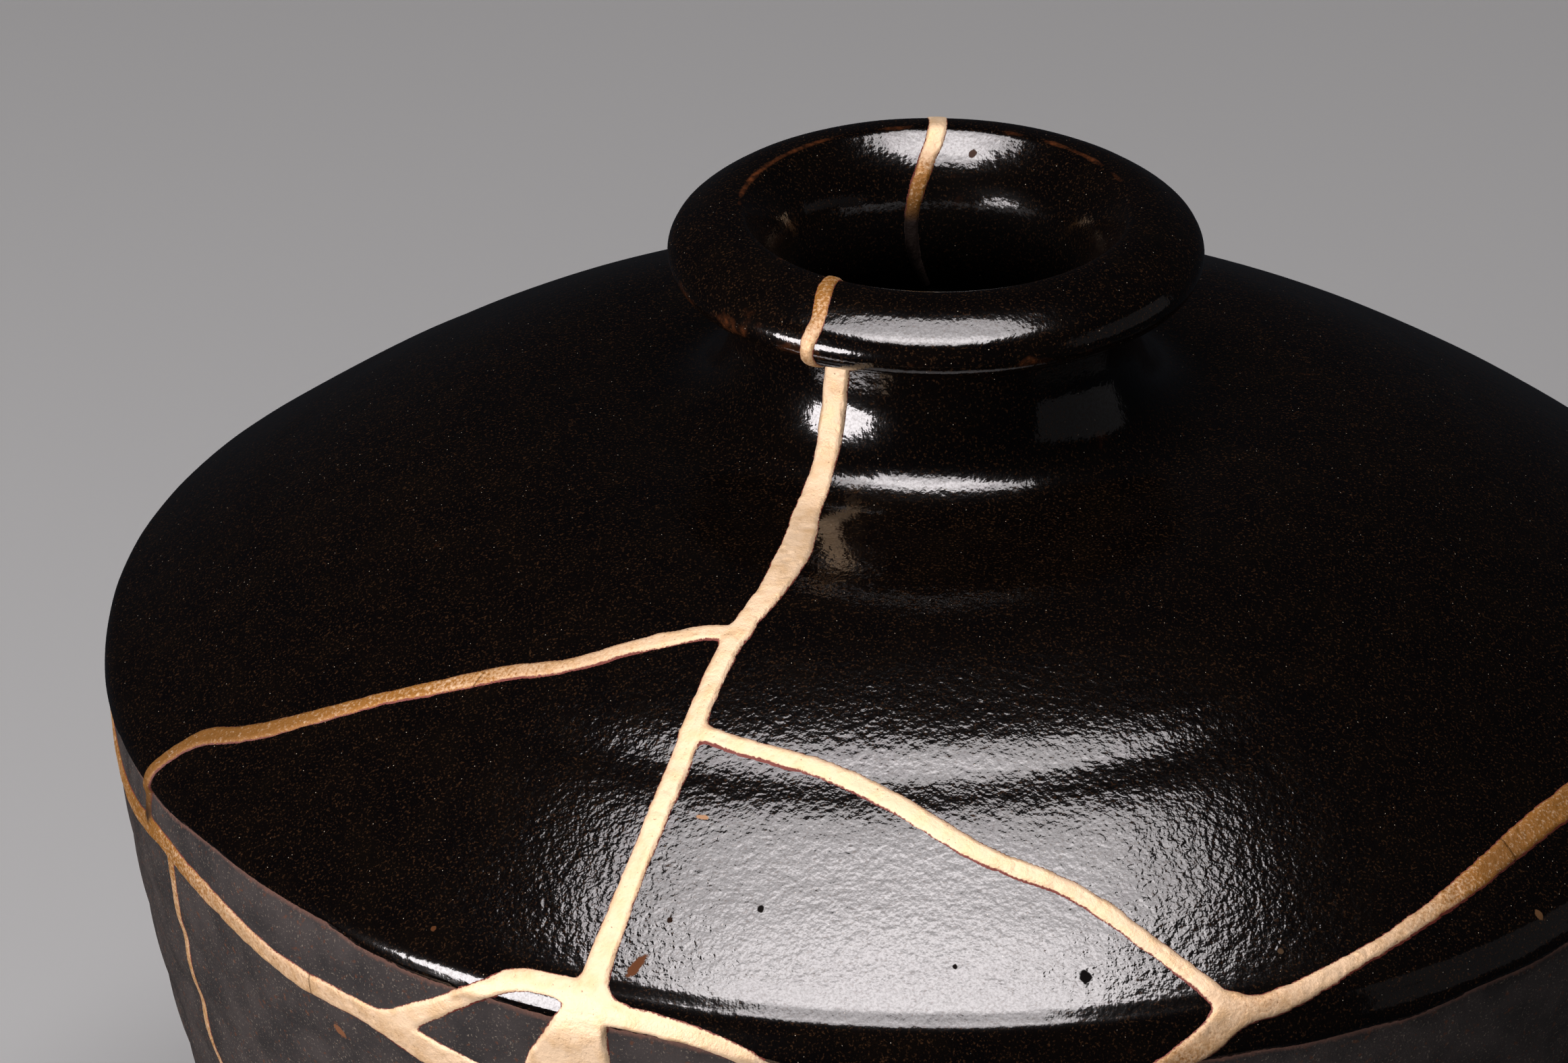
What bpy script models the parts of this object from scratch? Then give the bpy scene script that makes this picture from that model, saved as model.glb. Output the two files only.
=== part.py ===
"""A kintsugi jar: a squat stoneware jar that broke into sherds, rejoined with lacquer and gold.

Metres, +Z up. The jar stands on Z = 0 with its axis on Z, and its front faces -Y.
The jar is thrown whole, as one turned shell. The breaks then part the shell into sherds,
and the gold seams fill the gaps between them and stand a little proud of the glaze.
"""

import math

import bmesh
import bpy
import numpy as np
from mathutils import Vector

MM = 0.001

# Driving dimensions of the thrown jar, in millimetres.
JAR_RADIUS = 115.0
JAR_HEIGHT = 201.0
FOOT_RADIUS = 69.0
MOUTH_RADIUS = 26.7
THROAT_RADIUS = 19.8
LIP_RADIUS = 36.85
NECK_RADIUS = 27.6

# The lip: a flange, full above and tucked in below.
LIP_RISE = 6.4
LIP_FULLNESS = 2.3
LIP_DROP = 3.2
LIP_TUCK = 4.5
LIP_HOLLOW = 2.4
UNDERSIDE_SLOPE = 0.6

# The shoulder falls away from the neck, and turns down over a short round edge.
NECK_FILLET = 8.0
SHOULDER_DROP = 26.8
DOME_FULLNESS = 1.25
EDGE_ROUND = 3.5
EDGE_TOP = 136.5
EDGE_DEPTH = 2.5

# The wall draws in below the edge, and more quickly near the foot.
WALL_DRAW = 34.0
WALL_POWER = 1.5
FOOT_DRAW = JAR_RADIUS - FOOT_RADIUS - WALL_DRAW
FOOT_POWER = 4.0
FOOT_BEVEL = 1.5

# The hollow inside.
WALL_THICKNESS = 5.5
FLOOR_THICKNESS = 9.0
FLOOR_ROUND = 14.0
FLOOR_LEAN = 31.0
THROAT_CURVE = 18.0
MOUTH_ANGLE = 52.0
THROAT_FLARE = -70.0

TURN_STEPS = 44

# The breaks. Each point is (azimuth in degrees, distance in mm down the outside from the
# mouth, seam width in mm). Azimuth 0 is the front, and it grows towards +X.
BREAKS = {
    "main": [
        (-31, 0, 2.5), (-27, 8, 2.5), (-27.8, 14, 2.6), (-29, 24, 2.8), (-30, 32, 3.0),
        (-27.5, 40, 3.0), (-23.5, 50, 4.0), (-21.6, 58, 4.4), (-21.3, 68, 3.6),
        (-22.5, 80, 3.0), (-22.2, 101, 3.0), (-22.3, 120, 3.0), (-22.5, 134.5, 4.0),
    ],
    "back": [
        (180, 0, 2.6), (181, 8, 2.6), (186, 13.5, 2.6), (189, 20, 2.6), (187.5, 26, 2.6),
        (185, 33, 2.6), (181, 46, 3.0), (176, 64, 3.0), (169, 88, 3.0), (171, 112, 3.0),
        (165, 130, 3.0), (162, 142, 3.0),
    ],
    "left_branch": [
        (-22.3, 77, 2.6), (-27, 79, 2.4), (-32.3, 83.5, 2.4), (-38, 90, 2.2),
        (-43.4, 94.7, 2.4), (-51.6, 105, 2.2), (-60.7, 120.5, 2.6), (-64.7, 126, 2.6),
        (-66, 133, 2.2), (-68.5, 144.5, 2.4),
    ],
    "right_branch": [
        (-22.2, 94, 2.6), (-16.5, 94.9, 2.6), (-9, 96.8, 2.8), (-2.4, 101.3, 2.8),
        (4, 108.4, 2.6), (10.8, 114.8, 2.6), (15.6, 123.6, 2.6), (20, 134.3, 3.2),
    ],
    "girdle": [
        (20, 134.3, 3.2), (23, 134.2, 3.0), (27.9, 131.9, 2.8), (34, 129.1, 2.8),
        (40.4, 126.2, 3.0), (47, 123.6, 3.0), (55, 122.4, 3.0), (66, 122, 3.0),
        (82, 124, 3.0), (100, 128.5, 3.0), (120, 133, 3.0), (140, 138, 3.0),
        (162, 142, 3.2), (182, 143, 3.0), (205, 141.5, 3.0), (230, 143, 3.0),
        (252, 140, 3.0), (268, 140, 3.0), (276, 142, 3.0), (282, 145.5, 2.8),
        (288, 145.7, 2.8), (294.5, 144.2, 2.8), (302, 145.5, 2.8), (311, 148.2, 2.8),
        (319, 148.6, 3.2), (324, 150.3, 4.8), (330, 152.5, 5.0), (334, 154.5, 5.0),
    ],
    "loop": [
        (-38.5, 148.3, 4.0), (-35, 143.8, 2.6), (-31.4, 139.2, 2.4), (-28, 134.6, 2.6),
        (-25, 133.7, 2.6), (-22.5, 134.5, 3.6),
    ],
    "chip_fill": [
        (-22.4, 134, 4.4), (-23, 138.2, 6.4), (-23.7, 143.6, 10.8), (-24.3, 148.5, 14.2),
        (-24.8, 153.5, 13.0), (-25, 156, 9.0),
    ],
    "front_left": [
        (-22.5, 134.5, 4.0), (-20.5, 137, 3.2), (-16.5, 137.8, 3.0), (-12, 140.2, 3.0),
        (-5, 148, 3.0), (2, 154, 3.0),
    ],
    "front_right": [
        (20, 134.3, 3.2), (18.5, 137.6, 3.2), (16, 140.9, 3.2), (9, 148.5, 3.0),
        (2, 154, 3.0),
    ],
    "wall_crack": [
        (-64.2, 144.5, 2.0), (-64.5, 152.5, 1.8), (-64.3, 165, 1.6), (-62, 175, 1.4),
        (-61, 188, 1.2), (-62.5, 200, 1.0),
    ],
}

# A place on each sherd: (azimuth in degrees, distance down the outside in mm).
SHERDS = {
    "shoulder_sherd_left": (-110, 70),
    "shoulder_sherd_right": (80, 70),
    "front_sherd": (0, 125),
    "front_left_sherd": (-40, 115),
    "edge_sherd": (-31, 143),
    "lower_body": (-40, 200),
}

# How a break leans through the wall: (distance down the outside, degrees above level).
BREAK_LEAN = [(32, 0), (40, 45), (47, 86), (80, 75), (105, 58), (128, 45), (140, 10), (150, 0), (280, -20)]
BREAK_SPACING = 7.5
BREAK_OUTSIDE = 4.0
BREAK_DEPTH = 16.0
RIM_OUTSIDE = LIP_RADIUS + 5.0
RIM_INSIDE = 9.0
RIM_ABOVE = 5.0
NECK_RUN = 33.0
TIP_CLEARANCE = 0.6

SEAM_GAP = 0.3
SEAM_RISE = 0.4

GLAZE_COLOR = (0.012, 0.009, 0.008, 1.0)
STONEWARE_COLOR = (0.028, 0.024, 0.023, 1.0)
GOLD_COLOR = (0.78, 0.48, 0.20, 1.0)


def arc(center, radii, start, end, count, fullness=2.0):
    """Points of an ellipse's arc between two angles in degrees; more fullness squares it."""
    angle = np.radians(np.linspace(start, end, count))
    cosine, sine = np.cos(angle), np.sin(angle)
    across = np.sign(cosine) * np.abs(cosine) ** (2 / fullness)
    up = np.sign(sine) * np.abs(sine) ** (2 / fullness)
    return np.column_stack([center[0] + radii[0] * across, center[1] + radii[1] * up])


def shoulder_end():
    """Where the shoulder meets the edge's arc: (radius, height, arc angle in degrees)."""
    top = JAR_HEIGHT - SHOULDER_DROP
    root = NECK_RADIUS + NECK_FILLET
    angle = math.radians(55)
    for _ in range(20):
        radius = JAR_RADIUS - EDGE_ROUND + EDGE_ROUND * math.cos(angle)
        height = EDGE_TOP + EDGE_ROUND * math.sin(angle)
        slope = (3 - DOME_FULLNESS) * (top - height) / (radius - root)
        angle = math.pi / 2 - math.atan(slope)
    return radius, height, math.degrees(angle)


def shoulder(count, inset=0.0):
    """The shoulder from the neck outwards: its fall blends a square and a cube."""
    radius, height, _ = shoulder_end()
    root = NECK_RADIUS + NECK_FILLET
    top = JAR_HEIGHT - SHOULDER_DROP
    part = np.linspace(0, 1, count)
    fall = DOME_FULLNESS * part**2 + (1 - DOME_FULLNESS) * part**3
    return np.column_stack([root + (radius - root - inset) * part, top - (top - height) * fall - inset])


def wall(count, inset=0.0):
    """The wall from the edge to the foot: it draws in as two powers of the depth."""
    top = EDGE_TOP - EDGE_DEPTH
    part = np.linspace(0, 1, count)
    draw = WALL_DRAW * part**WALL_POWER + FOOT_DRAW * part**FOOT_POWER
    return np.column_stack([JAR_RADIUS - inset - draw, top * (1 - part)])


def outside(fine=1):
    """The outer profile, from the mouth's ridge over the lip and down to the foot."""
    lip_level = JAR_HEIGHT - LIP_RISE
    underside = lip_level - LIP_DROP
    hollow = (NECK_RADIUS + LIP_HOLLOW, underside - UNDERSIDE_SLOPE - LIP_HOLLOW)
    fillet = (NECK_RADIUS + NECK_FILLET, JAR_HEIGHT - SHOULDER_DROP + NECK_FILLET)
    _, _, edge_angle = shoulder_end()
    lip_top = arc((MOUTH_RADIUS, lip_level), (LIP_RADIUS - MOUTH_RADIUS, LIP_RISE), 90, 0, 5 * fine, LIP_FULLNESS)
    lip_low = arc((LIP_RADIUS - LIP_TUCK, lip_level), (LIP_TUCK, LIP_DROP), 0, -90, 3 * fine)
    under = arc(hollow, (-LIP_HOLLOW, LIP_HOLLOW), 90, 0, 3 * fine)
    neck = arc(fillet, (-NECK_FILLET, NECK_FILLET), 0, -90, 4 * fine)
    edge = arc((JAR_RADIUS - EDGE_ROUND, EDGE_TOP), (EDGE_ROUND, EDGE_ROUND), edge_angle, 0, 3 * fine)
    parts = [lip_top, lip_low[1:], under, neck, shoulder(7 * fine)[1:], edge[1:], wall(7 * fine)]
    profile = np.vstack(parts)
    steps = np.hypot(*np.diff(profile, axis=0).T)
    return profile, np.concatenate([[0], np.cumsum(steps)])


def inside():
    """The inner profile, from the floor's middle up the wall and out through the throat."""
    throat = (THROAT_RADIUS + THROAT_CURVE, JAR_HEIGHT - THROAT_CURVE * math.sin(math.radians(MOUTH_ANGLE)))
    lean = math.radians(FLOOR_LEAN)
    level = FLOOR_THICKNESS + FLOOR_ROUND * (1 - math.sin(lean))
    side = wall(60, WALL_THICKNESS / math.cos(lean))[::-1]
    reach = np.interp(level, side[:, 1], side[:, 0])
    corner = (reach - FLOOR_ROUND * math.cos(lean), FLOOR_THICKNESS + FLOOR_ROUND)
    floor = arc(corner, (FLOOR_ROUND, FLOOR_ROUND), -90, -FLOOR_LEAN, 3)
    walls = wall(6, WALL_THICKNESS)
    walls = walls[walls[:, 1] > level + 5][::-1]
    ceiling = shoulder(5, WALL_THICKNESS)[:0:-1]
    throat_arc = arc(throat, (-THROAT_CURVE, THROAT_CURVE), THROAT_FLARE, MOUTH_ANGLE, 7)
    return np.vstack([[(0, FLOOR_THICKNESS)], floor, walls, ceiling, throat_arc])


def jar_profile():
    """The whole closed profile: up the inside, over the lip, down the outside to the axis."""
    outer, _ = outside()
    foot = outer[-1]
    outer[-1] = foot + (FOOT_BEVEL * 0.5, FOOT_BEVEL)
    base = [(foot[0] - FOOT_BEVEL, 0), (0, 0)]
    return np.vstack([inside(), outer[1:], base])


def grown(profile, rise):
    """A profile moved outwards along its normals, its two ends kept on the axis."""
    along = np.gradient(profile, axis=0)
    normal = np.column_stack([-along[:, 1], along[:, 0]])
    normal *= rise / np.linalg.norm(normal, axis=1, keepdims=True)
    moved = profile + normal
    moved[[0, -1], 0] = 0
    return moved


def place(azimuth, radius, height):
    """Millimetres around the axis to metres in space."""
    angle = math.radians(azimuth)
    return Vector((radius * math.sin(angle), -radius * math.cos(angle), height)) * MM


def smooth_path(points, spacing):
    """Stations along a break, on a Catmull-Rom curve through its points."""
    knots = np.array(points, dtype=float)
    knots = np.vstack([2 * knots[0] - knots[1], knots, 2 * knots[-1] - knots[-2]])
    stations = []
    for before, start, end, after in zip(knots, knots[1:], knots[2:], knots[3:]):
        radius = JAR_RADIUS if start[1] > 60 else NECK_RADIUS
        length = math.hypot(math.radians(end[0] - start[0]) * radius, end[1] - start[1])
        count = max(1, round(length / spacing))
        for part in np.arange(count) / count:
            bend = 2 * before - 5 * start + 4 * end - after
            twist = 3 * (start - end) + after - before
            station = start + 0.5 * part * (end - before + part * (bend + part * twist))
            stations.append(station)
    stations.append(knots[-2])
    return np.array(stations)


def lengthened(stations, extra):
    """The same stations with both ends carried on by a little."""
    longer = stations.copy()
    for end, beside in ((0, 1), (-1, -2)):
        step = longer[end, :2] - longer[beside, :2]
        radius = JAR_RADIUS if longer[end, 1] > 60 else NECK_RADIUS
        length = math.hypot(math.radians(step[0]) * radius, step[1])
        longer[end, :2] += step * extra / length
    return longer


def break_section(azimuth, run, outline, runs):
    """The outer and inner end of a break's cut at one station, in metres."""
    radius = np.interp(run, runs, outline[:, 0])
    height = np.interp(run, runs, outline[:, 1])
    if run < NECK_RUN:
        return place(azimuth, RIM_OUTSIDE, height), place(azimuth, RIM_INSIDE, height)
    lean = math.radians(np.interp(run, *zip(*BREAK_LEAN)))
    across, up = math.cos(lean), math.sin(lean)
    outer = place(azimuth, radius + BREAK_OUTSIDE * across, height + BREAK_OUTSIDE * up)
    inner = place(azimuth, radius - BREAK_DEPTH * across, height - BREAK_DEPTH * up)
    return outer, inner


def blade(name, points, extra, collection):
    """A blade along one break: a loft of oblongs, each as wide as the seam plus extra."""
    outline, runs = outside(fine=6)
    stations = smooth_path(points, BREAK_SPACING)
    if extra > 0:
        stations = lengthened(stations, TIP_CLEARANCE)
    ends = [break_section(azimuth, run, outline, runs) for azimuth, run, _ in stations]
    widths = [width + 2 * extra for _, _, width in stations]
    if stations[0][1] < 1:
        above = Vector((0, 0, RIM_ABOVE * MM))
        ends.insert(0, (ends[0][0] + above, ends[0][1] + above))
        widths.insert(0, widths[0])
    mesh = bmesh.new()
    rings = []
    for index, ((outer, inner), width) in enumerate(zip(ends, widths)):
        before = ends[max(index - 1, 0)][0]
        after = ends[min(index + 1, len(ends) - 1)][0]
        side = (after - before).cross(outer - inner).normalized() * (width * MM / 2)
        corners = (outer + side, outer - side, inner - side, inner + side)
        rings.append([mesh.verts.new(corner) for corner in corners])
    for ring, following in zip(rings, rings[1:]):
        for corner in range(4):
            other = (corner + 1) % 4
            mesh.faces.new((ring[corner], ring[other], following[other], following[corner]))
    mesh.faces.new(rings[0][::-1])
    mesh.faces.new(rings[-1])
    bmesh.ops.recalc_face_normals(mesh, faces=mesh.faces)
    bmesh.ops.triangulate(mesh, faces=mesh.faces)
    return add_object(name, mesh, collection)


def add_object(name, mesh, collection):
    """A new object in the collection from a bmesh, which is freed."""
    data = bpy.data.meshes.new(name)
    mesh.to_mesh(data)
    mesh.free()
    made = bpy.data.objects.new(name, data)
    collection.objects.link(made)
    return made


def turned(name, profile, collection):
    """A solid of revolution: a profile of edges with a Screw modifier."""
    mesh = bmesh.new()
    verts = [mesh.verts.new((radius * MM, 0, height * MM)) for radius, height in profile]
    for first, second in zip(verts, verts[1:]):
        mesh.edges.new((first, second))
    made = add_object(name, mesh, collection)
    screw = made.modifiers.new("turn", "SCREW")
    screw.steps = TURN_STEPS
    screw.render_steps = TURN_STEPS
    screw.use_merge_vertices = True
    screw.merge_threshold = 0.00001
    return made


def as_cutter(made):
    """Marks an object as a helper that isn't part of the jar."""
    made.hide_render = True
    made.display_type = "WIRE"
    return made


def combine(made, other, operation):
    """Adds a Boolean modifier. The exact solver loses the neck here, so it's the manifold one."""
    boolean = made.modifiers.new(other.name, "BOOLEAN")
    boolean.operation = operation
    boolean.solver = "MANIFOLD"
    boolean.object = other


def applied(made, name, collection):
    """A plain mesh object of what another object's modifiers give."""
    graph = bpy.context.evaluated_depsgraph_get()
    data = bpy.data.meshes.new_from_object(made.evaluated_get(graph))
    data.name = name
    result = bpy.data.objects.new(name, data)
    collection.objects.link(result)
    return result


def all_blades(label, extra, collection):
    """One object that unites the blades of every break."""
    blades = [as_cutter(blade(f"{label}_{name}", points, extra, collection)) for name, points in BREAKS.items()]
    for other in blades[1:]:
        combine(blades[0], other, "UNION")
    return as_cutter(applied(blades[0], label, collection))


def loose_parts(made):
    """The separate bodies of an object, each as its own object."""
    bpy.ops.object.select_all(action="DESELECT")
    made.select_set(True)
    bpy.context.view_layer.objects.active = made
    bpy.ops.mesh.separate(type="LOOSE")
    return list(bpy.context.selected_objects)


def name_sherds(parts):
    """Names each loose part after the sherd whose place it holds."""
    outline, runs = outside(fine=6)
    free = list(parts)
    for name, (azimuth, run) in SHERDS.items():
        spot = place(azimuth, np.interp(run, runs, outline[:, 0]), np.interp(run, runs, outline[:, 1]))
        nearest = min(free, key=lambda part: min((vertex.co - spot).length for vertex in part.data.vertices))
        nearest.name = name
        nearest.data.name = name
        free.remove(nearest)


def principled(name, color, roughness, metallic):
    """A Principled BSDF material."""
    material = bpy.data.materials.new(name)
    material.use_nodes = True
    shader = material.node_tree.nodes["Principled BSDF"]
    shader.inputs["Base Color"].default_value = color
    shader.inputs["Roughness"].default_value = roughness
    shader.inputs["Metallic"].default_value = metallic
    return material


def finish(made, material):
    """Gives an object its one material and smooth shading with sharp breaks."""
    made.data.materials.clear()
    made.data.materials.append(material)
    made.data.shade_smooth()
    made.data.set_sharp_from_angle(angle=math.radians(35))


def new_collection(name):
    """A collection in the scene."""
    collection = bpy.data.collections.new(name)
    bpy.context.scene.collection.children.link(collection)
    return collection


def main():
    for old in list(bpy.data.objects):
        bpy.data.objects.remove(old, do_unlink=True)
    jar = new_collection("kintsugi_jar")
    cutters = new_collection("cutters")
    glaze = principled("black_glaze", GLAZE_COLOR, 0.12, 0.0)
    stoneware = principled("bare_stoneware", STONEWARE_COLOR, 0.6, 0.0)
    gold = principled("gold_on_lacquer", GOLD_COLOR, 0.35, 1.0)

    thrown = as_cutter(turned("thrown_jar", jar_profile(), cutters))
    combine(thrown, all_blades("breaks", SEAM_GAP, cutters), "DIFFERENCE")
    broken = applied(thrown, "broken_jar", jar)
    name_sherds(loose_parts(broken))

    proud = as_cutter(turned("proud_jar", grown(jar_profile(), SEAM_RISE), cutters))
    combine(proud, all_blades("seams", 0.0, cutters), "INTERSECT")
    applied(proud, "gold_seams", jar)

    for made in jar.objects:
        if made.name == "gold_seams":
            finish(made, gold)
        elif made.name == "lower_body":
            finish(made, stoneware)
        else:
            finish(made, glaze)


if __name__ == "__main__":
    main()
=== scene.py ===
"""The looks of a kintsugi jar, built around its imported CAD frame.

The jar is thrown stoneware with a black-brown iron glaze that stops just below the shoulder's
edge. It broke into sherds, which lacquer and gold rejoin. Every place on it is given by two
numbers: the azimuth in degrees (0 at the front, growing towards +X) and the run, which is the
distance in mm down the outside from the mouth's ridge, and below zero inside the throat.
"""

import logging
import math
from dataclasses import dataclass
from enum import Enum
from functools import partial
from typing import Any, Optional, Sequence

import bpy
import numpy as np
from mathutils import Matrix, Vector


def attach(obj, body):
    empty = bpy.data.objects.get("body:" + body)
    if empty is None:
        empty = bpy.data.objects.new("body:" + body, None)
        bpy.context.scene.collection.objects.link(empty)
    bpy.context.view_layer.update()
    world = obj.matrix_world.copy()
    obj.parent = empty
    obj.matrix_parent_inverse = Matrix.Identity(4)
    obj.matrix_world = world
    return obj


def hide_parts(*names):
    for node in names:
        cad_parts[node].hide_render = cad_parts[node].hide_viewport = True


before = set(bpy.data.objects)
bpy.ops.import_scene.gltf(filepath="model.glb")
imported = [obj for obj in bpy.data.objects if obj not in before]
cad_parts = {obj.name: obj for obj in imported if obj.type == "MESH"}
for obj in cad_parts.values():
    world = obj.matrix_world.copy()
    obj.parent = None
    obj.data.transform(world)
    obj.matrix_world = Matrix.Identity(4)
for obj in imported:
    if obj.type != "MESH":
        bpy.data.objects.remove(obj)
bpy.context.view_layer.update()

MM = 0.001
ARC_POINTS = 80
LINE_POINTS = 400
LEAST_AREA = 1e-6
ROOT_BODY = "root"

log = logging.getLogger("kintsugi_jar")

Place = tuple[float, float, float]


class Slot(Enum):
    """The record's material slots."""

    GLAZE = "black_glaze"
    STONEWARE = "bare_stoneware"
    GOLD = "gold_on_lacquer"


# ---------------------------------------------------------------------------
# Numbers and noise
# ---------------------------------------------------------------------------


def scattered(cells: np.ndarray, seed: int) -> np.ndarray:
    """A fixed random value from -1 to 1 for each whole-number cell.

    Args:
        cells: whole numbers, with the last axis of length 3.
        seed: which set of values.

    Returns:
        One value a cell.
    """
    mixed = cells.astype(np.uint64) * np.array([73856093, 19349663, 83492791], np.uint64)
    value = mixed[..., 0] ^ mixed[..., 1] ^ mixed[..., 2] ^ np.uint64(seed * 2654435761 % 2**32)
    for shift, factor in ((15, 0x2C1B3C6D), (12, 0x297A2D39), (15, 0x85EBCA6B)):
        value = ((value ^ (value >> np.uint64(shift))) * np.uint64(factor)) & np.uint64(0xFFFFFFFF)
    return value.astype(np.float64) / 2**31 - 1


def drift(places: np.ndarray, grain: float, seed: int) -> np.ndarray:
    """Smooth noise: random values at the corners of cubes, blended by a smooth step.

    Each use has a seed of its own, so that no two patterns line up.

    Args:
        places: points in mm, with the last axis of length 3.
        grain: the cubes' side in mm.
        seed: which set of values.

    Returns:
        Values from -1 to 1.
    """
    scaled = places / grain + 1000.0
    cell = np.floor(scaled).astype(np.int64)
    part = scaled - cell
    part = part * part * (3 - 2 * part)
    total = np.zeros(places.shape[:-1])
    for corner in np.ndindex(2, 2, 2):
        step = np.array(corner)
        weight = np.prod(np.where(step == 1, part, 1 - part), axis=-1)
        total += weight * scattered(cell + step, seed)
    return total


def ease(value: np.ndarray, low: float, high: float) -> np.ndarray:
    """A smooth step: 0 below low, 1 above high, and 3t^2 - 2t^3 between them."""
    part = np.clip((value - low) / (high - low), 0, 1)
    return part * part * (3 - 2 * part)


def hump(value: np.ndarray, centre: float, width: float) -> np.ndarray:
    """A bell: e to the power of minus the squared distance from its centre over its width."""
    return np.exp(-(((value - centre) / width) ** 2))


def wrapped(azimuth: np.ndarray) -> np.ndarray:
    """Azimuths brought to between -180 and 180 degrees."""
    return (np.asarray(azimuth) + 180.0) % 360.0 - 180.0


# ---------------------------------------------------------------------------
# The thrown shape
# ---------------------------------------------------------------------------


def arc(
    centre: Sequence[float], radii: Sequence[float], start: float, end: float, fullness: float = 2.0
) -> np.ndarray:
    """Points of an ellipse's arc, with a fullness above 2 squaring it.

    Args:
        centre: radius and height of the centre, in mm.
        radii: the half-widths across and up, in mm. A minus sign mirrors the arc.
        start: the first angle in degrees.
        end: the last angle in degrees.
        fullness: the power of the superellipse.

    Returns:
        Points as rows of radius and height.
    """
    angle = np.radians(np.linspace(start, end, ARC_POINTS))
    cosine, sine = np.cos(angle), np.sin(angle)
    across = np.sign(cosine) * np.abs(cosine) ** (2 / fullness)
    up = np.sign(sine) * np.abs(sine) ** (2 / fullness)
    return np.column_stack([centre[0] + radii[0] * across, centre[1] + radii[1] * up])


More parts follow.
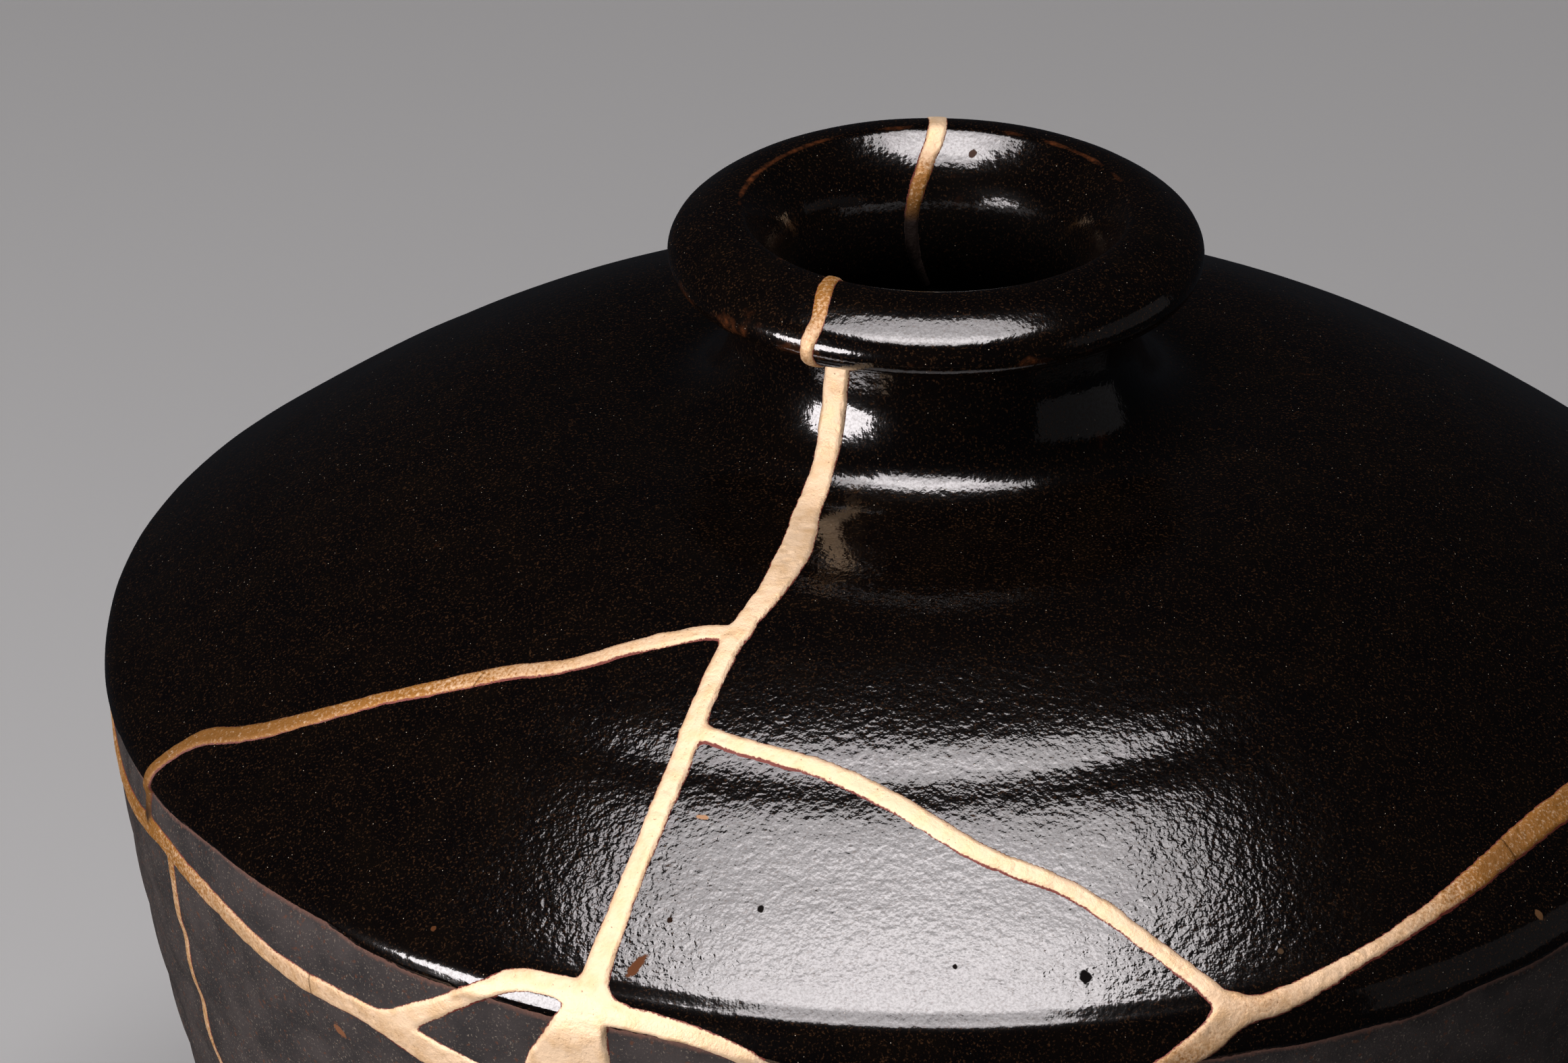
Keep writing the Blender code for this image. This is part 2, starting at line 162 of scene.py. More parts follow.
@dataclass(frozen=True)
class JarProfile:
    """The jar's turned section, in mm."""

    radius: float = 115.0
    height: float = 201.0
    foot_radius: float = 69.0
    mouth_radius: float = 26.7
    throat_radius: float = 19.8
    lip_radius: float = 36.85
    neck_radius: float = 27.6
    lip_rise: float = 6.4
    lip_fullness: float = 2.3
    lip_drop: float = 3.2
    lip_tuck: float = 4.5
    lip_hollow: float = 2.4
    underside_slope: float = 0.6
    neck_fillet: float = 8.0
    shoulder_drop: float = 26.8
    dome_fullness: float = 1.25
    edge_round: float = 3.5
    edge_top: float = 136.5
    edge_depth: float = 2.5
    wall_draw: float = 34.0
    foot_bevel: float = 1.5
    wall: float = 5.5
    floor: float = 9.0
    floor_round: float = 14.0
    floor_lean: float = 31.0
    throat_curve: float = 18.0
    mouth_angle: float = 52.0
    throat_flare: float = -70.0
    softening: float = 0.45
    root_widening: float = 4.5
    root_sinking: float = 2.6
    root_fade: float = 36.0
    # The angle of the shoulder's end is found in rounds, from a first guess in degrees.
    ANGLE_GUESS = 55
    ANGLE_ROUNDS = 20

    def shoulder_end(self) -> tuple[float, float, float]:
        """Radius, height and arc angle where the shoulder meets the edge's round.

        Each round turns the angle to the slope that the shoulder has there.

        Returns:
            The radius, the height and the angle in degrees.
        """
        top = self.height - self.shoulder_drop
        root = self.neck_radius + self.neck_fillet
        angle = math.radians(self.ANGLE_GUESS)
        radius = height = 0.0
        for _ in range(self.ANGLE_ROUNDS):
            radius = self.radius - self.edge_round + self.edge_round * math.cos(angle)
            height = self.edge_top + self.edge_round * math.sin(angle)
            angle = math.pi / 2 - math.atan((3 - self.dome_fullness) * (top - height) / (radius - root))
        return radius, height, math.degrees(angle)

    def shoulder(self, inset: float = 0.0) -> np.ndarray:
        """The shoulder from the neck outwards, whose fall blends a square and a cube of the way.

        Args:
            inset: how far inside the outer skin the line lies, in mm.

        Returns:
            Rows of radius and height.
        """
        radius, height, _ = self.shoulder_end()
        root = self.neck_radius + self.neck_fillet
        top = self.height - self.shoulder_drop
        part = np.linspace(0, 1, LINE_POINTS)
        fall = self.dome_fullness * part**2 + (1 - self.dome_fullness) * part**3
        return np.column_stack([root + (radius - root - inset) * part, top - (top - height) * fall - inset])

    def side(self, inset: float = 0.0) -> np.ndarray:
        """The wall from the edge to the foot, which draws in as two powers of the depth.

        Args:
            inset: how far inside the outer skin the line lies, in mm.

        Returns:
            Rows of radius and height.
        """
        top = self.edge_top - self.edge_depth
        part = np.linspace(0, 1, LINE_POINTS)
        draw = self.wall_draw * part**1.5 + (self.radius - self.foot_radius - self.wall_draw) * part**4
        return np.column_stack([self.radius - inset - draw, top * (1 - part)])

    def outside(self) -> np.ndarray:
        """The outer section from the mouth's ridge to the middle of the foot.

        Returns:
            Rows of radius and height.
        """
        level = self.height - self.lip_rise
        under = level - self.lip_drop
        hollow = (self.neck_radius + self.lip_hollow, under - self.underside_slope - self.lip_hollow)
        fillet = (self.neck_radius + self.neck_fillet, self.height - self.shoulder_drop + self.neck_fillet)
        edge = (self.radius - self.edge_round, self.edge_top)
        lip = (self.lip_radius - self.mouth_radius, self.lip_rise)
        side = self.side()
        side = side[side[:, 1] > self.foot_bevel]
        return np.vstack([
            arc((self.mouth_radius, level), lip, 90, 0, self.lip_fullness),
            arc((self.lip_radius - self.lip_tuck, level), (self.lip_tuck, self.lip_drop), 0, -90)[1:],
            arc(hollow, (-self.lip_hollow, self.lip_hollow), 90, 0),
            arc(fillet, (-self.neck_fillet, self.neck_fillet), 0, -90),
            self.shoulder()[1:],
            arc(edge, (self.edge_round, self.edge_round), self.shoulder_end()[2], 0)[1:],
            side,
            [(self.foot_radius - self.foot_bevel, 0), (0, 0)],
        ])

    def inside(self) -> np.ndarray:
        """The inner section from the mouth's ridge to the middle of the floor.

        Returns:
            Rows of radius and height.
        """
        throat = (
            self.throat_radius + self.throat_curve,
            self.height - self.throat_curve * math.sin(math.radians(self.mouth_angle)),
        )
        lean = math.radians(self.floor_lean)
        level = self.floor + self.floor_round * (1 - math.sin(lean))
        side = self.side(self.wall / math.cos(lean))
        side = side[side[:, 1] > level]
        corner = (side[-1, 0] - self.floor_round * math.cos(lean), self.floor + self.floor_round)
        return np.vstack([
            arc(throat, (-self.throat_curve, self.throat_curve), self.mouth_angle, self.throat_flare),
            self.shoulder(self.wall)[1:],
            side,
            arc(corner, (self.floor_round, self.floor_round), -self.floor_lean, -90)[1:],
            [(0, self.floor)],
        ])


class Section:
    """The whole section as one line by run, from the floor's middle to the foot's middle."""

    STEP = 0.1
    NORMAL_SPREAD = 0.15
    FOOT_LEVEL = 0.5
    PAST_NECK = 4.0

    def __init__(self, profile: JarProfile) -> None:
        """Resamples the section evenly and softens its corners.

        Args:
            profile: the jar's sizes.
        """
        self.profile = profile
        outer, self.outer_run = self.measured(profile.outside())
        inner, self.inner_run = self.measured(profile.inside())
        line = np.vstack([inner[:0:-1], outer])
        run = np.concatenate([-self.inner_run[:0:-1], self.outer_run])
        self.run = np.arange(run[0], run[-1], self.STEP)
        line = np.column_stack([np.interp(self.run, run, line[:, axis]) for axis in (0, 1)])
        line = self.softened(line + self.widened_root(), profile.softening)
        along = self.softened(np.gradient(line, axis=0), self.NORMAL_SPREAD)
        along /= np.linalg.norm(along, axis=1, keepdims=True)
        self.line = line
        self.normal = np.column_stack([-along[:, 1], along[:, 0]])
        self.end_run = float(self.outer_run[-1])
        third = len(line) // 3
        self.foot_run = float(np.interp(self.FOOT_LEVEL, line[::-1][:third, 1], self.run[::-1][:third]))
        root = (profile.neck_radius + profile.neck_fillet, profile.height - profile.shoulder_drop)
        self.root_run = self.run_near(*root)
        self.edge_run = self.run_near(profile.radius, profile.edge_top)

    def widened_root(self) -> np.ndarray:
        """What moves the neck's fillet to a wider one with its root lower, and leaves every run as it was.

        At an angle t round the fillet it goes out by w (1 - cos t) and up by (w - s) - w sin t, with
        w the widening and s the sinking. It fades in above the fillet and out along the shoulder.

        Returns:
            How far each point moves outwards and upwards, in mm.
        """
        size = self.profile
        fillet_top = (size.neck_radius, size.height - size.shoulder_drop + size.neck_fillet)
        outside = self.outer_run[np.argmin(np.hypot(*(size.outside() - fillet_top).T))]
        length = size.neck_fillet * math.pi / 2
        angle = np.clip((self.run - outside) / length, 0, 1) * math.pi / 2
        fade = ease(self.run, outside - size.neck_fillet, outside)
        fade = fade * (1 - ease(self.run, outside + length, outside + length + size.root_fade))
        wide, up = size.root_widening, size.root_widening - size.root_sinking
        return fade[:, None] * np.column_stack([wide * (1 - np.cos(angle)), up - wide * np.sin(angle)])

    @staticmethod
    def measured(line: np.ndarray) -> tuple[np.ndarray, np.ndarray]:
        """A line and the distance along it to each of its points."""
        steps = np.hypot(*np.diff(line, axis=0).T)
        return line, np.concatenate([[0], np.cumsum(steps)])

    def softened(self, values: np.ndarray, spread: float) -> np.ndarray:
        """Values along the section, blurred by a bell of the given spread in mm.

        Args:
            values: rows at even steps along the section.
            spread: the bell's standard deviation in mm.

        Returns:
            The blurred rows.
        """
        reach = int(4 * spread / self.STEP)
        weight = np.exp(-0.5 * (np.arange(-reach, reach + 1) * self.STEP / spread) ** 2)
        weight /= weight.sum()
        before = 2 * values[:1] - values[reach:0:-1]
        after = 2 * values[-1:] - values[-2 : -reach - 2 : -1]
        padded = np.concatenate([before, values, after])
        return np.column_stack([np.convolve(column, weight, "valid") for column in padded.T])

    def run_near(self, radius: float, height: float) -> float:
        """The run of the outside's point nearest to a radius and a height.

        Args:
            radius: in mm.
            height: in mm.

        Returns:
            The run in mm.
        """
        distance = np.hypot(self.line[:, 0] - radius, self.line[:, 1] - height)
        distance[self.run < 0] = np.inf
        return float(self.run[np.argmin(distance)])

    def at(self, run: np.ndarray) -> tuple[np.ndarray, np.ndarray, np.ndarray, np.ndarray]:
        """Radius, height and the normal's two parts at each run.

        Args:
            run: runs in mm, of any shape.

        Returns:
            The radii, the heights, and the normals' outward and upward parts.
        """
        return (
            np.interp(run, self.run, self.line[:, 0]),
            np.interp(run, self.run, self.line[:, 1]),
            np.interp(run, self.run, self.normal[:, 0]),
            np.interp(run, self.run, self.normal[:, 1]),
        )

    def partner(self, run: np.ndarray) -> np.ndarray:
        """The run inside the wall that lies behind each run on the outside.

        Args:
            run: runs in mm on the outside.

        Returns:
            Runs in mm on the inside, which are negative.
        """
        inner_line = self.profile.inside()
        inner_run = self.inner_run
        throat = inner_run[np.argmax(inner_line[:, 0] > self.profile.neck_radius + self.PAST_NECK)]
        ceiling = inner_run[np.argmax(inner_line[:, 0])]
        floor = inner_run[-2]
        return -np.interp(
            run,
            [0, self.root_run, self.edge_run, self.foot_run, self.end_run],
            [0, throat, ceiling, floor, inner_run[-1]],
        )


# ---------------------------------------------------------------------------
# The surface's relief
# ---------------------------------------------------------------------------


@dataclass(frozen=True)
class Relief:
    """How far the real surface stands off the turned one, in mm.

    A pair named start, rise, fall or fade is where a smooth step of the run begins and ends. One
    named band is a bell's centre and width.
    """

    uneven: float = 0.5
    uneven_grain: float = 45
    dome_wave: float = 0.02
    dome_period: float = 15.0
    dome_phase: float = 1.1
    dome_start: tuple[float, float] = (56, 70)
    dome_fall: tuple[float, float] = (118, 130)
    groove: float = 0.27
    groove_run: float = 98.1
    groove_width: float = 3.4
    groove_turn: float = -0.075
    groove_wander: float = 0.5
    groove_grain: float = 22
    groove_behind: float = 0.35
    groove_reach: float = 60
    finger_line: float = 0.03
    finger_period: float = 3.6
    finger_above: float = 4
    finger_width: float = 5
    finger_azimuths: tuple[float, float] = (24, 15)
    edge_swell: float = 1.15
    edge_rise: tuple[float, float] = (132.2, 135.6)
    wall_swell: float = 0.75
    wall_rise: tuple[float, float] = (134, 139)
    swell_fall: tuple[float, float] = (141, 175)
    swell_reach: tuple[float, float] = (40, 85)
    neck_swell: float = 0.36
    neck_band: tuple[float, float] = (34.8, 2.6)
    lip_flat: float = 0.65
    lip_band: tuple[float, float] = (8.1, 3.4)
    lip_start: tuple[float, float] = (0, 5)
    mouth_flat: float = 0.6
    mouth_rise: tuple[float, float] = (1, 9)
    mouth_fall: tuple[float, float] = (12, 26)
    throwing_ridge: float = 0.16
    throwing_period: float = 10.6
    throwing_phase: float = 0.6
    throwing_skew: float = 0.35
    throwing_start: tuple[float, float] = (146, 158)
    foot_fade: float = 12
    clay_below: float = 0.45
    clay_edge: tuple[float, float] = (-0.3, 0.6)
    clay_start: tuple[float, float] = (100, 120)
    glaze_roll: float = 0.25
    roll_edge: tuple[float, float] = (-0.1, 0.7)
    roll_top: float = 0.8
    roll_end: float = 5.0
    roll_uneven: float = 0.3
    roll_grain: float = 12
    lip_crease: float = 0.04
    crease_run: float = 11.6
    crease_width: float = 0.45
    crease_uneven: float = 0.6
    crease_grain: float = 14
    inner_ridge: float = 0.3
    inner_period: float = 13.0
    inner_start: tuple[float, float] = (46, 60)
    floor_fade: tuple[float, float] = (6, 30)
    broad_noise: float = 0.10
    broad_grain: float = 27
    small_noise: float = 0.045
    small_grain: float = 8
    ridge_fade: float = 6.0


@dataclass(frozen=True)
class GlazeEdge:
    """Where the glaze stops on the wall: azimuths in degrees and heights in mm."""

    line: tuple[tuple[float, float], ...] = (
        (-180, 133.0), (-150, 132.2), (-120, 133.6), (-95, 132.8), (-74, 134.5), (-61, 135.0), (-56, 135.9),
        (-43, 135.6), (-40, 134.5), (-36, 134.0), (-24, 133.9), (-18, 134.0), (-12, 132.5), (3, 131.6),
        (17, 131.5), (27, 131.1), (33, 130.9), (39, 132.0), (49, 132.3), (70, 133.4), (100, 133.4),
        (130, 132.0), (155, 133.5), (180, 133.0),
    )
    wander: float = 0.35
    wander_grain: float = 7.0


class JarSurface:
    """Places on the jar's finished skin, outside and inside."""

    NORMAL_STEP = 0.25
    LEAST_RADIUS = 2.0

    def __init__(self, section: Section, relief: Relief, glaze_edge: GlazeEdge) -> None:
        """Keeps the section with its relief and the glaze's edge.

        Args:
            section: the turned section.
            relief: the sizes of ridges, waves and steps.
            glaze_edge: where the glaze stops.
        """
        self.section = section
        self.relief = relief
        self.glaze_edge = glaze_edge
        wall = (section.run > section.edge_run) & (section.run < section.foot_run)
        self.wall_heights = section.line[wall, 1][::-1]
        self.wall_runs = section.run[wall][::-1]

    @staticmethod
    def around(azimuth: np.ndarray, radius: np.ndarray, height: np.ndarray) -> np.ndarray:
        """Points from azimuths in degrees, radii and heights."""
        angle = np.radians(azimuth)
        return np.stack(np.broadcast_arrays(radius * np.sin(angle), -radius * np.cos(angle), height), axis=-1)

    def turned(self, azimuth: np.ndarray, run: np.ndarray) -> np.ndarray:
        """Points on the turned surface, with no relief."""
        radius, height, _, _ = self.section.at(run)
        return self.around(azimuth, radius, height)

    def above_glaze_edge(self, azimuth: np.ndarray, run: np.ndarray, places: np.ndarray) -> np.ndarray:
        """How far in mm each place lies above the glaze's edge, along the outside.

        Args:
            azimuth: in degrees.
            run: in mm.
            places: the same places on the turned surface.

        Returns:
            Distances in mm, below 0 on the bare clay.
        """
        azimuths, heights = np.array(self.glaze_edge.line).T
        height = np.interp(wrapped(azimuth), azimuths, heights)
        height = height + self.glaze_edge.wander * drift(places, self.glaze_edge.wander_grain, 11)
        return np.interp(height, self.wall_heights, self.wall_runs) - run

    def rise(self, azimuth: np.ndarray, run: np.ndarray, places: np.ndarray) -> np.ndarray:
        """The whole relief, outside and inside, under smooth noise that stops at the mouth and foot.

        Args:
            azimuth: in degrees.
            run: in mm.
            places: the same places on the turned surface.

        Returns:
            Heights above the turned surface, in mm.
        """
        size = self.relief
        turn = np.asarray(azimuth) / 360
        uneven = 1 + size.uneven * drift(places, size.uneven_grain, 3)
        foot = ease(-run, -self.section.foot_run, -self.section.foot_run + size.foot_fade)
        ridge = np.sin(2 * math.pi * (run / size.throwing_period + turn) + size.throwing_phase)
        ridge = size.throwing_ridge * uneven * (ridge - size.throwing_skew * ridge**2)
        ridge = ridge * ease(run, *size.throwing_start) * foot
        step = self.glaze_step(self.above_glaze_edge(azimuth, run, places), run, places)
        crease = -size.lip_crease * hump(run, size.crease_run, size.crease_width)
        crease = crease * (1 + size.crease_uneven * drift(places, size.crease_grain, 8))
        dome = self.dome_rise(azimuth, run, places, uneven)
        outside = dome + self.swell(azimuth, run) + ridge + step + crease
        noise = size.broad_noise * drift(places, size.broad_grain, 1)
        noise = noise + size.small_noise * drift(places, size.small_grain, 2)
        noise = noise * foot * ease(np.abs(run), 0.0, size.ridge_fade)
        return np.where(run >= 0, outside, self.inner_rise(turn, run)) + noise

    def dome_rise(
        self, azimuth: np.ndarray, run: np.ndarray, places: np.ndarray, uneven: np.ndarray
    ) -> np.ndarray:
        """The dome's groove, slow waves and finger lines.

        The groove is a bell whose run falls as the azimuth grows. The waves and the finger lines are
        sines of the run, the last under a bell just above the groove.

        Args:
            azimuth: in degrees.
            run: in mm.
            places: the same places on the turned surface.
            uneven: what each wave's height is multiplied by.

        Returns:
            Heights in mm.
        """
        size = self.relief
        turn, side = np.asarray(azimuth) / 360, wrapped(azimuth)
        groove_run = size.groove_run + size.groove_turn * side
        groove_run = groove_run + size.groove_wander * drift(places, size.groove_grain, 4)
        around = size.groove_behind + (1 - size.groove_behind) * hump(side, 0, size.groove_reach)
        dome = -size.groove * hump(run, groove_run, size.groove_width) * around
        wave = np.sin(2 * math.pi * (run / size.dome_period + turn) + size.dome_phase)
        low, high = size.dome_fall
        dome = dome + size.dome_wave * uneven * wave * ease(run, *size.dome_start) * ease(-run, -high, -low)
        finger = np.sin(2 * math.pi * (run - groove_run) / size.finger_period)
        finger = finger * hump(run, groove_run - size.finger_above, size.finger_width)
        return dome + size.finger_line * finger * hump(side, *size.finger_azimuths)

    def swell(self, azimuth: np.ndarray, run: np.ndarray) -> np.ndarray:
        """The swells of the shoulder's edge, wall and neck, less the lip's flattening, in mm.

        Those of the edge and wall are smooth steps of the run, and fade out by azimuth to each side.

        Args:
            azimuth: in degrees.
            run: in mm.

        Returns:
            Heights in mm.
        """
        size = self.relief
        swell = size.edge_swell * ease(run, *size.edge_rise) + size.wall_swell * ease(run, *size.wall_rise)
        swell = swell * (1 - ease(run, *size.swell_fall))
        swell = swell * (1 - ease(np.abs(wrapped(azimuth)), *size.swell_reach))
        swell = swell + size.neck_swell * hump(run, *size.neck_band)
        return swell - size.lip_flat * hump(run, *size.lip_band) * ease(run, *size.lip_start)

    def inner_rise(self, turn: np.ndarray, run: np.ndarray) -> np.ndarray:
        """The throwing ridges inside, as a sine of the run, and the swell inside the mouth, in mm.

        Args:
            turn: the azimuth in whole turns.
            run: in mm.

        Returns:
            Heights in mm.
        """
        size = self.relief
        inner = np.sin(2 * math.pi * (run / size.inner_period + turn)) * size.inner_ridge
        floor = -self.section.inner_run[-1]
        inner = inner * ease(-run, *size.inner_start) * ease(run, *(floor + fade for fade in size.floor_fade))
        return inner + size.mouth_flat * ease(-run, *size.mouth_rise) * (1 - ease(-run, *size.mouth_fall))

    def glaze_step(self, above: np.ndarray, run: np.ndarray, places: np.ndarray) -> np.ndarray:
        """How far the glaze's rolled edge stands out, and the clay below it lies back, in mm.

        Args:
            above: how far each place lies above the glaze's edge, in mm.
            run: in mm.
            places: the same places on the turned surface.

        Returns:
            Heights in mm.
        """
        size = self.relief
        clay = -size.clay_below * (1 - ease(above, *size.clay_edge)) * ease(run, *size.clay_start)
        clay = clay * ease(-run, -self.section.foot_run, -self.section.foot_run + size.foot_fade)
        rolled = ease(above, *size.roll_edge) * (1 - ease(above, size.roll_top, size.roll_end))
        uneven = 1 + size.roll_uneven * drift(places, size.roll_grain, 5)
        return clay + size.glaze_roll * uneven * rolled

    def bridged(
        self, azimuth: np.ndarray, run: np.ndarray, places: np.ndarray, length: np.ndarray
    ) -> np.ndarray:
        """How much thicker a filling is where it evens out the step below the glaze.

        The filling's face falls by a smooth step from the top of the roll to the clay.

        Args:
            azimuth: in degrees.
            run: in mm.
            places: the same places on the turned surface.
            length: how far down the filling reaches the clay's level, in mm.

        Returns:
            The added thickness in mm.
        """
        size = self.relief
        above = self.above_glaze_edge(azimuth, run, places)
        fall = size.glaze_roll + size.clay_below
        face = size.glaze_roll - fall * ease((size.roll_top - above) / length, 0, 1)
        added = np.maximum(face - self.glaze_step(above, run, places), 0)
        return np.where((above < size.roll_top) & (run > size.clay_start[0]), added, 0)

    def skin(self, azimuth: np.ndarray, run: np.ndarray, above: Optional[np.ndarray] = None) -> np.ndarray:
        """Points on the finished skin, or above it by some mm.

        Args:
            azimuth: in degrees.
            run: in mm.
            above: how far above the skin the points lie, in mm.

        Returns:
            The points, in mm.
        """
        radius, height, outward, upward = self.section.at(run)
        rise = self.rise(azimuth, run, self.around(azimuth, radius, height))
        rise = rise if above is None else rise + above
        return self.around(azimuth, radius + rise * outward, height + rise * upward)

    def normals(self, azimuth: np.ndarray, run: np.ndarray) -> np.ndarray:
        """Unit normals of the finished skin, from points a little to each side.

        Args:
            azimuth: in degrees.
            run: in mm.

        Returns:
            The normals.
        """
        radius = np.maximum(self.section.at(run)[0], self.LEAST_RADIUS)
        step = self.NORMAL_STEP
        around = np.degrees(step / radius)
        across = self.skin(azimuth + around, run) - self.skin(azimuth - around, run)
        down = self.skin(azimuth, run + step) - self.skin(azimuth, run - step)
        normal = np.cross(down, across)
        return normal / np.maximum(np.linalg.norm(normal, axis=-1, keepdims=True), 1e-9)


# ---------------------------------------------------------------------------
# The breaks
# ---------------------------------------------------------------------------


@dataclass(frozen=True)
class Break:
    """One break, and how the gold lies on it.

    Each point is (azimuth in degrees, run in mm, seam width in mm). The gold's rise is in mm. Its
    tarnish and shade, which browns the gold for tarnish and as painted shade on the sides away from
    the lights, and wavy go from 0 to 1, and bridge is how far below the glaze, in mm, it evens out the step.
    """

    points: tuple[Place, ...]
    rise: float = 0.45
    tarnish_and_shade: float = 0.0
    wavy: float = 1.0
    bridge: float = 2.5
    # The jar's radius on the dome, neck and throat, near enough to space the stations, each with
    # the run past which it holds.
    ROUGH_RADII = ((60, 100.0), (36, 50.0), (-math.inf, 30.0))

    def path(self, spacing: float) -> np.ndarray:
        """Stations on a Catmull-Rom curve through the points, about evenly spaced in mm.

        Args:
            spacing: the distance between stations, in mm.

        Returns:
            Rows of azimuth, run and width.
        """
        knots = np.array(self.points, dtype=float)
        knots = np.vstack([2 * knots[0] - knots[1], knots, 2 * knots[-1] - knots[-2]])
        stations = []
        for before, start, end, after in zip(knots, knots[1:], knots[2:], knots[3:]):
            radius = next(radius for past, radius in self.ROUGH_RADII if start[1] > past)
            length = math.hypot(math.radians(end[0] - start[0]) * radius, end[1] - start[1])
            count = max(1, round(length / spacing))
            part = (np.arange(count) / count)[:, None]
            bend = 2 * before - 5 * start + 4 * end - after
            twist = 3 * (start - end) + after - before
            stations.append(start + 0.5 * part * (end - before + part * (bend + part * twist)))
        return np.vstack([*stations, knots[-2:-1]])


BREAKS = {
    "main": Break((
        (-31, -7, 1.8), (-31, 0, 2.1), (-27.2, 8, 2.2), (-27.8, 14, 2.0), (-28, 24, 3.2), (-29, 32, 3.6),
        (-28, 39.5, 3.4), (-23.5, 48.5, 4.0), (-21.6, 56.5, 4.4), (-21.3, 67, 3.6), (-22.5, 80, 3.0),
        (-22.2, 101, 3.0), (-22.3, 120, 3.0), (-22.3, 134.2, 4.0),
    )),
    "back": Break((
        (184, -24, 1.2), (189, -18, 1.6), (190, -12, 2.0), (183.5, -5, 2.3), (180, 0, 2.6), (181, 8, 2.6),
        (186, 13.5, 2.6), (189, 20, 2.6), (187.5, 26, 2.6), (185, 33, 2.6), (181, 46, 3.0), (176, 64, 3.0),
        (169, 88, 3.0), (171, 112, 3.0), (165, 130, 3.0), (162, 142, 3.0),
    )),
    "left_branch": Break((
        (-22.3, 77, 2.6), (-27, 79, 2.4), (-32.3, 83.5, 2.4), (-38, 90, 2.2), (-43.4, 94.7, 2.4),
        (-51.6, 105, 2.2), (-60.7, 120.5, 2.6), (-64.5, 126, 2.6), (-65.9, 133, 2.2), (-67.3, 143.1, 2.2),
    ), rise=0.35, tarnish_and_shade=0.75, wavy=0.45),
    "right_branch": Break((
        (-22.2, 94, 2.6), (-16.5, 95.2, 2.6), (-9, 97.2, 2.8), (-2.4, 101.8, 2.8), (4, 108.9, 2.6),
        (10.8, 115.2, 2.6), (15.6, 123.8, 2.3), (20, 134.1, 2.9),
    )),
    "right_girdle": Break((
        (20, 134.1, 3.2), (22.9, 134, 2.7), (27.9, 131.9, 2.4), (34, 129.1, 2.2), (40.4, 126.2, 3.0),
        (47, 123.6, 3.7), (55, 122.4, 3.9), (66, 122, 3.8), (82, 124, 3.4), (100, 128.5, 3.0),
        (120, 133, 3.0), (140, 138, 3.0), (162, 142, 3.2),
    ), tarnish_and_shade=0.75),
    "left_girdle": Break((
        (-198, 142, 3.2), (-178, 143, 3.0), (-155, 141.5, 3.0), (-130, 143, 3.0), (-108, 140, 3.0),
        (-92, 140, 3.0), (-84, 141.6, 3.8), (-77, 144.3, 4.0), (-71, 144.4, 3.6), (-64.4, 142.8, 3.3),
        (-56.6, 143.7, 3.3), (-47.8, 146.3, 3.3), (-40.2, 146.9, 3.5), (-35.3, 148.8, 4.8),
        (-29.5, 151.2, 5.0), (-25.6, 153.3, 5.0),
    ), rise=0.3, tarnish_and_shade=0.35),
    "loop": Break((
        (-37.6, 146.7, 4.0), (-34.2, 142.2, 2.8), (-30.8, 137.6, 2.4), (-27.8, 134.2, 2.3), (-25, 133.5, 2.3),
        (-22.3, 134.2, 3.6),
    ), rise=0.3, wavy=0.2),
    "chip_fill": Break((
        (-22.3, 134, 4.4), (-22.5, 136.4, 6.0), (-23.2, 142.2, 9.6), (-23.8, 147.1, 12.4),
        (-24.4, 152.3, 13.0), (-24.7, 154.9, 9.0),
    ), rise=0.25, wavy=0.2, bridge=10.0),
    "front_left": Break((
        (-22.3, 134.2, 4.0), (-20.2, 135.5, 2.9), (-16.2, 136.1, 2.7), (-11.8, 138.4, 2.8),
        (-5, 146.7, 3.0), (2, 152.9, 3.0),
    ), rise=0.35, wavy=0.4),
    "front_right": Break((
        (20, 134.1, 4.2), (18.5, 136.3, 4.0), (15.7, 139.6, 3.6), (8.8, 147.2, 3.0), (2, 152.9, 3.0),
    ), rise=0.35),
    "wall_crack": Break((
        (-63.1, 142.9, 2.2), (-63.4, 153.7, 1.8), (-63.4, 164.5, 1.5), (-63, 175, 1.3),
        (-61.9, 188, 1.1), (-60.5, 200, 0.9),
    ), rise=0.2, tarnish_and_shade=0.35, wavy=0.2),
}


# ---------------------------------------------------------------------------
# Materials
# ---------------------------------------------------------------------------


def linear(hex_color: str) -> tuple[float, float, float, float]:
    """A colour's linear values.

    Args:
        hex_color: the sRGB colour as six hex digits.

    Returns:
        Red, green, blue and an alpha of 1.
    """
    channels = [int(hex_color[start : start + 2], 16) / 255 for start in (0, 2, 4)]
    red, green, blue = (c / 12.92 if c <= 0.04045 else ((c + 0.055) / 1.055) ** 2.4 for c in channels)
    return red, green, blue, 1.0


def per_mm(size: float) -> float:
    """The scale that makes a texture's cell this many mm wide."""
    return 1 / (size * MM)


NOISE, VORONOI, MATHS = "ShaderNodeTexNoise", "ShaderNodeTexVoronoi", "ShaderNodeMath"
RAMP, RANGE, MIX = "ShaderNodeValToRGB", "ShaderNodeMapRange", "ShaderNodeMix"
ATTRIBUTE, VECTOR, BUMP = "ShaderNodeAttribute", "ShaderNodeVectorMath", "ShaderNodeBump"
COLOURS: dict[str, Any] = {"out": 2, "data_type": "RGBA"}


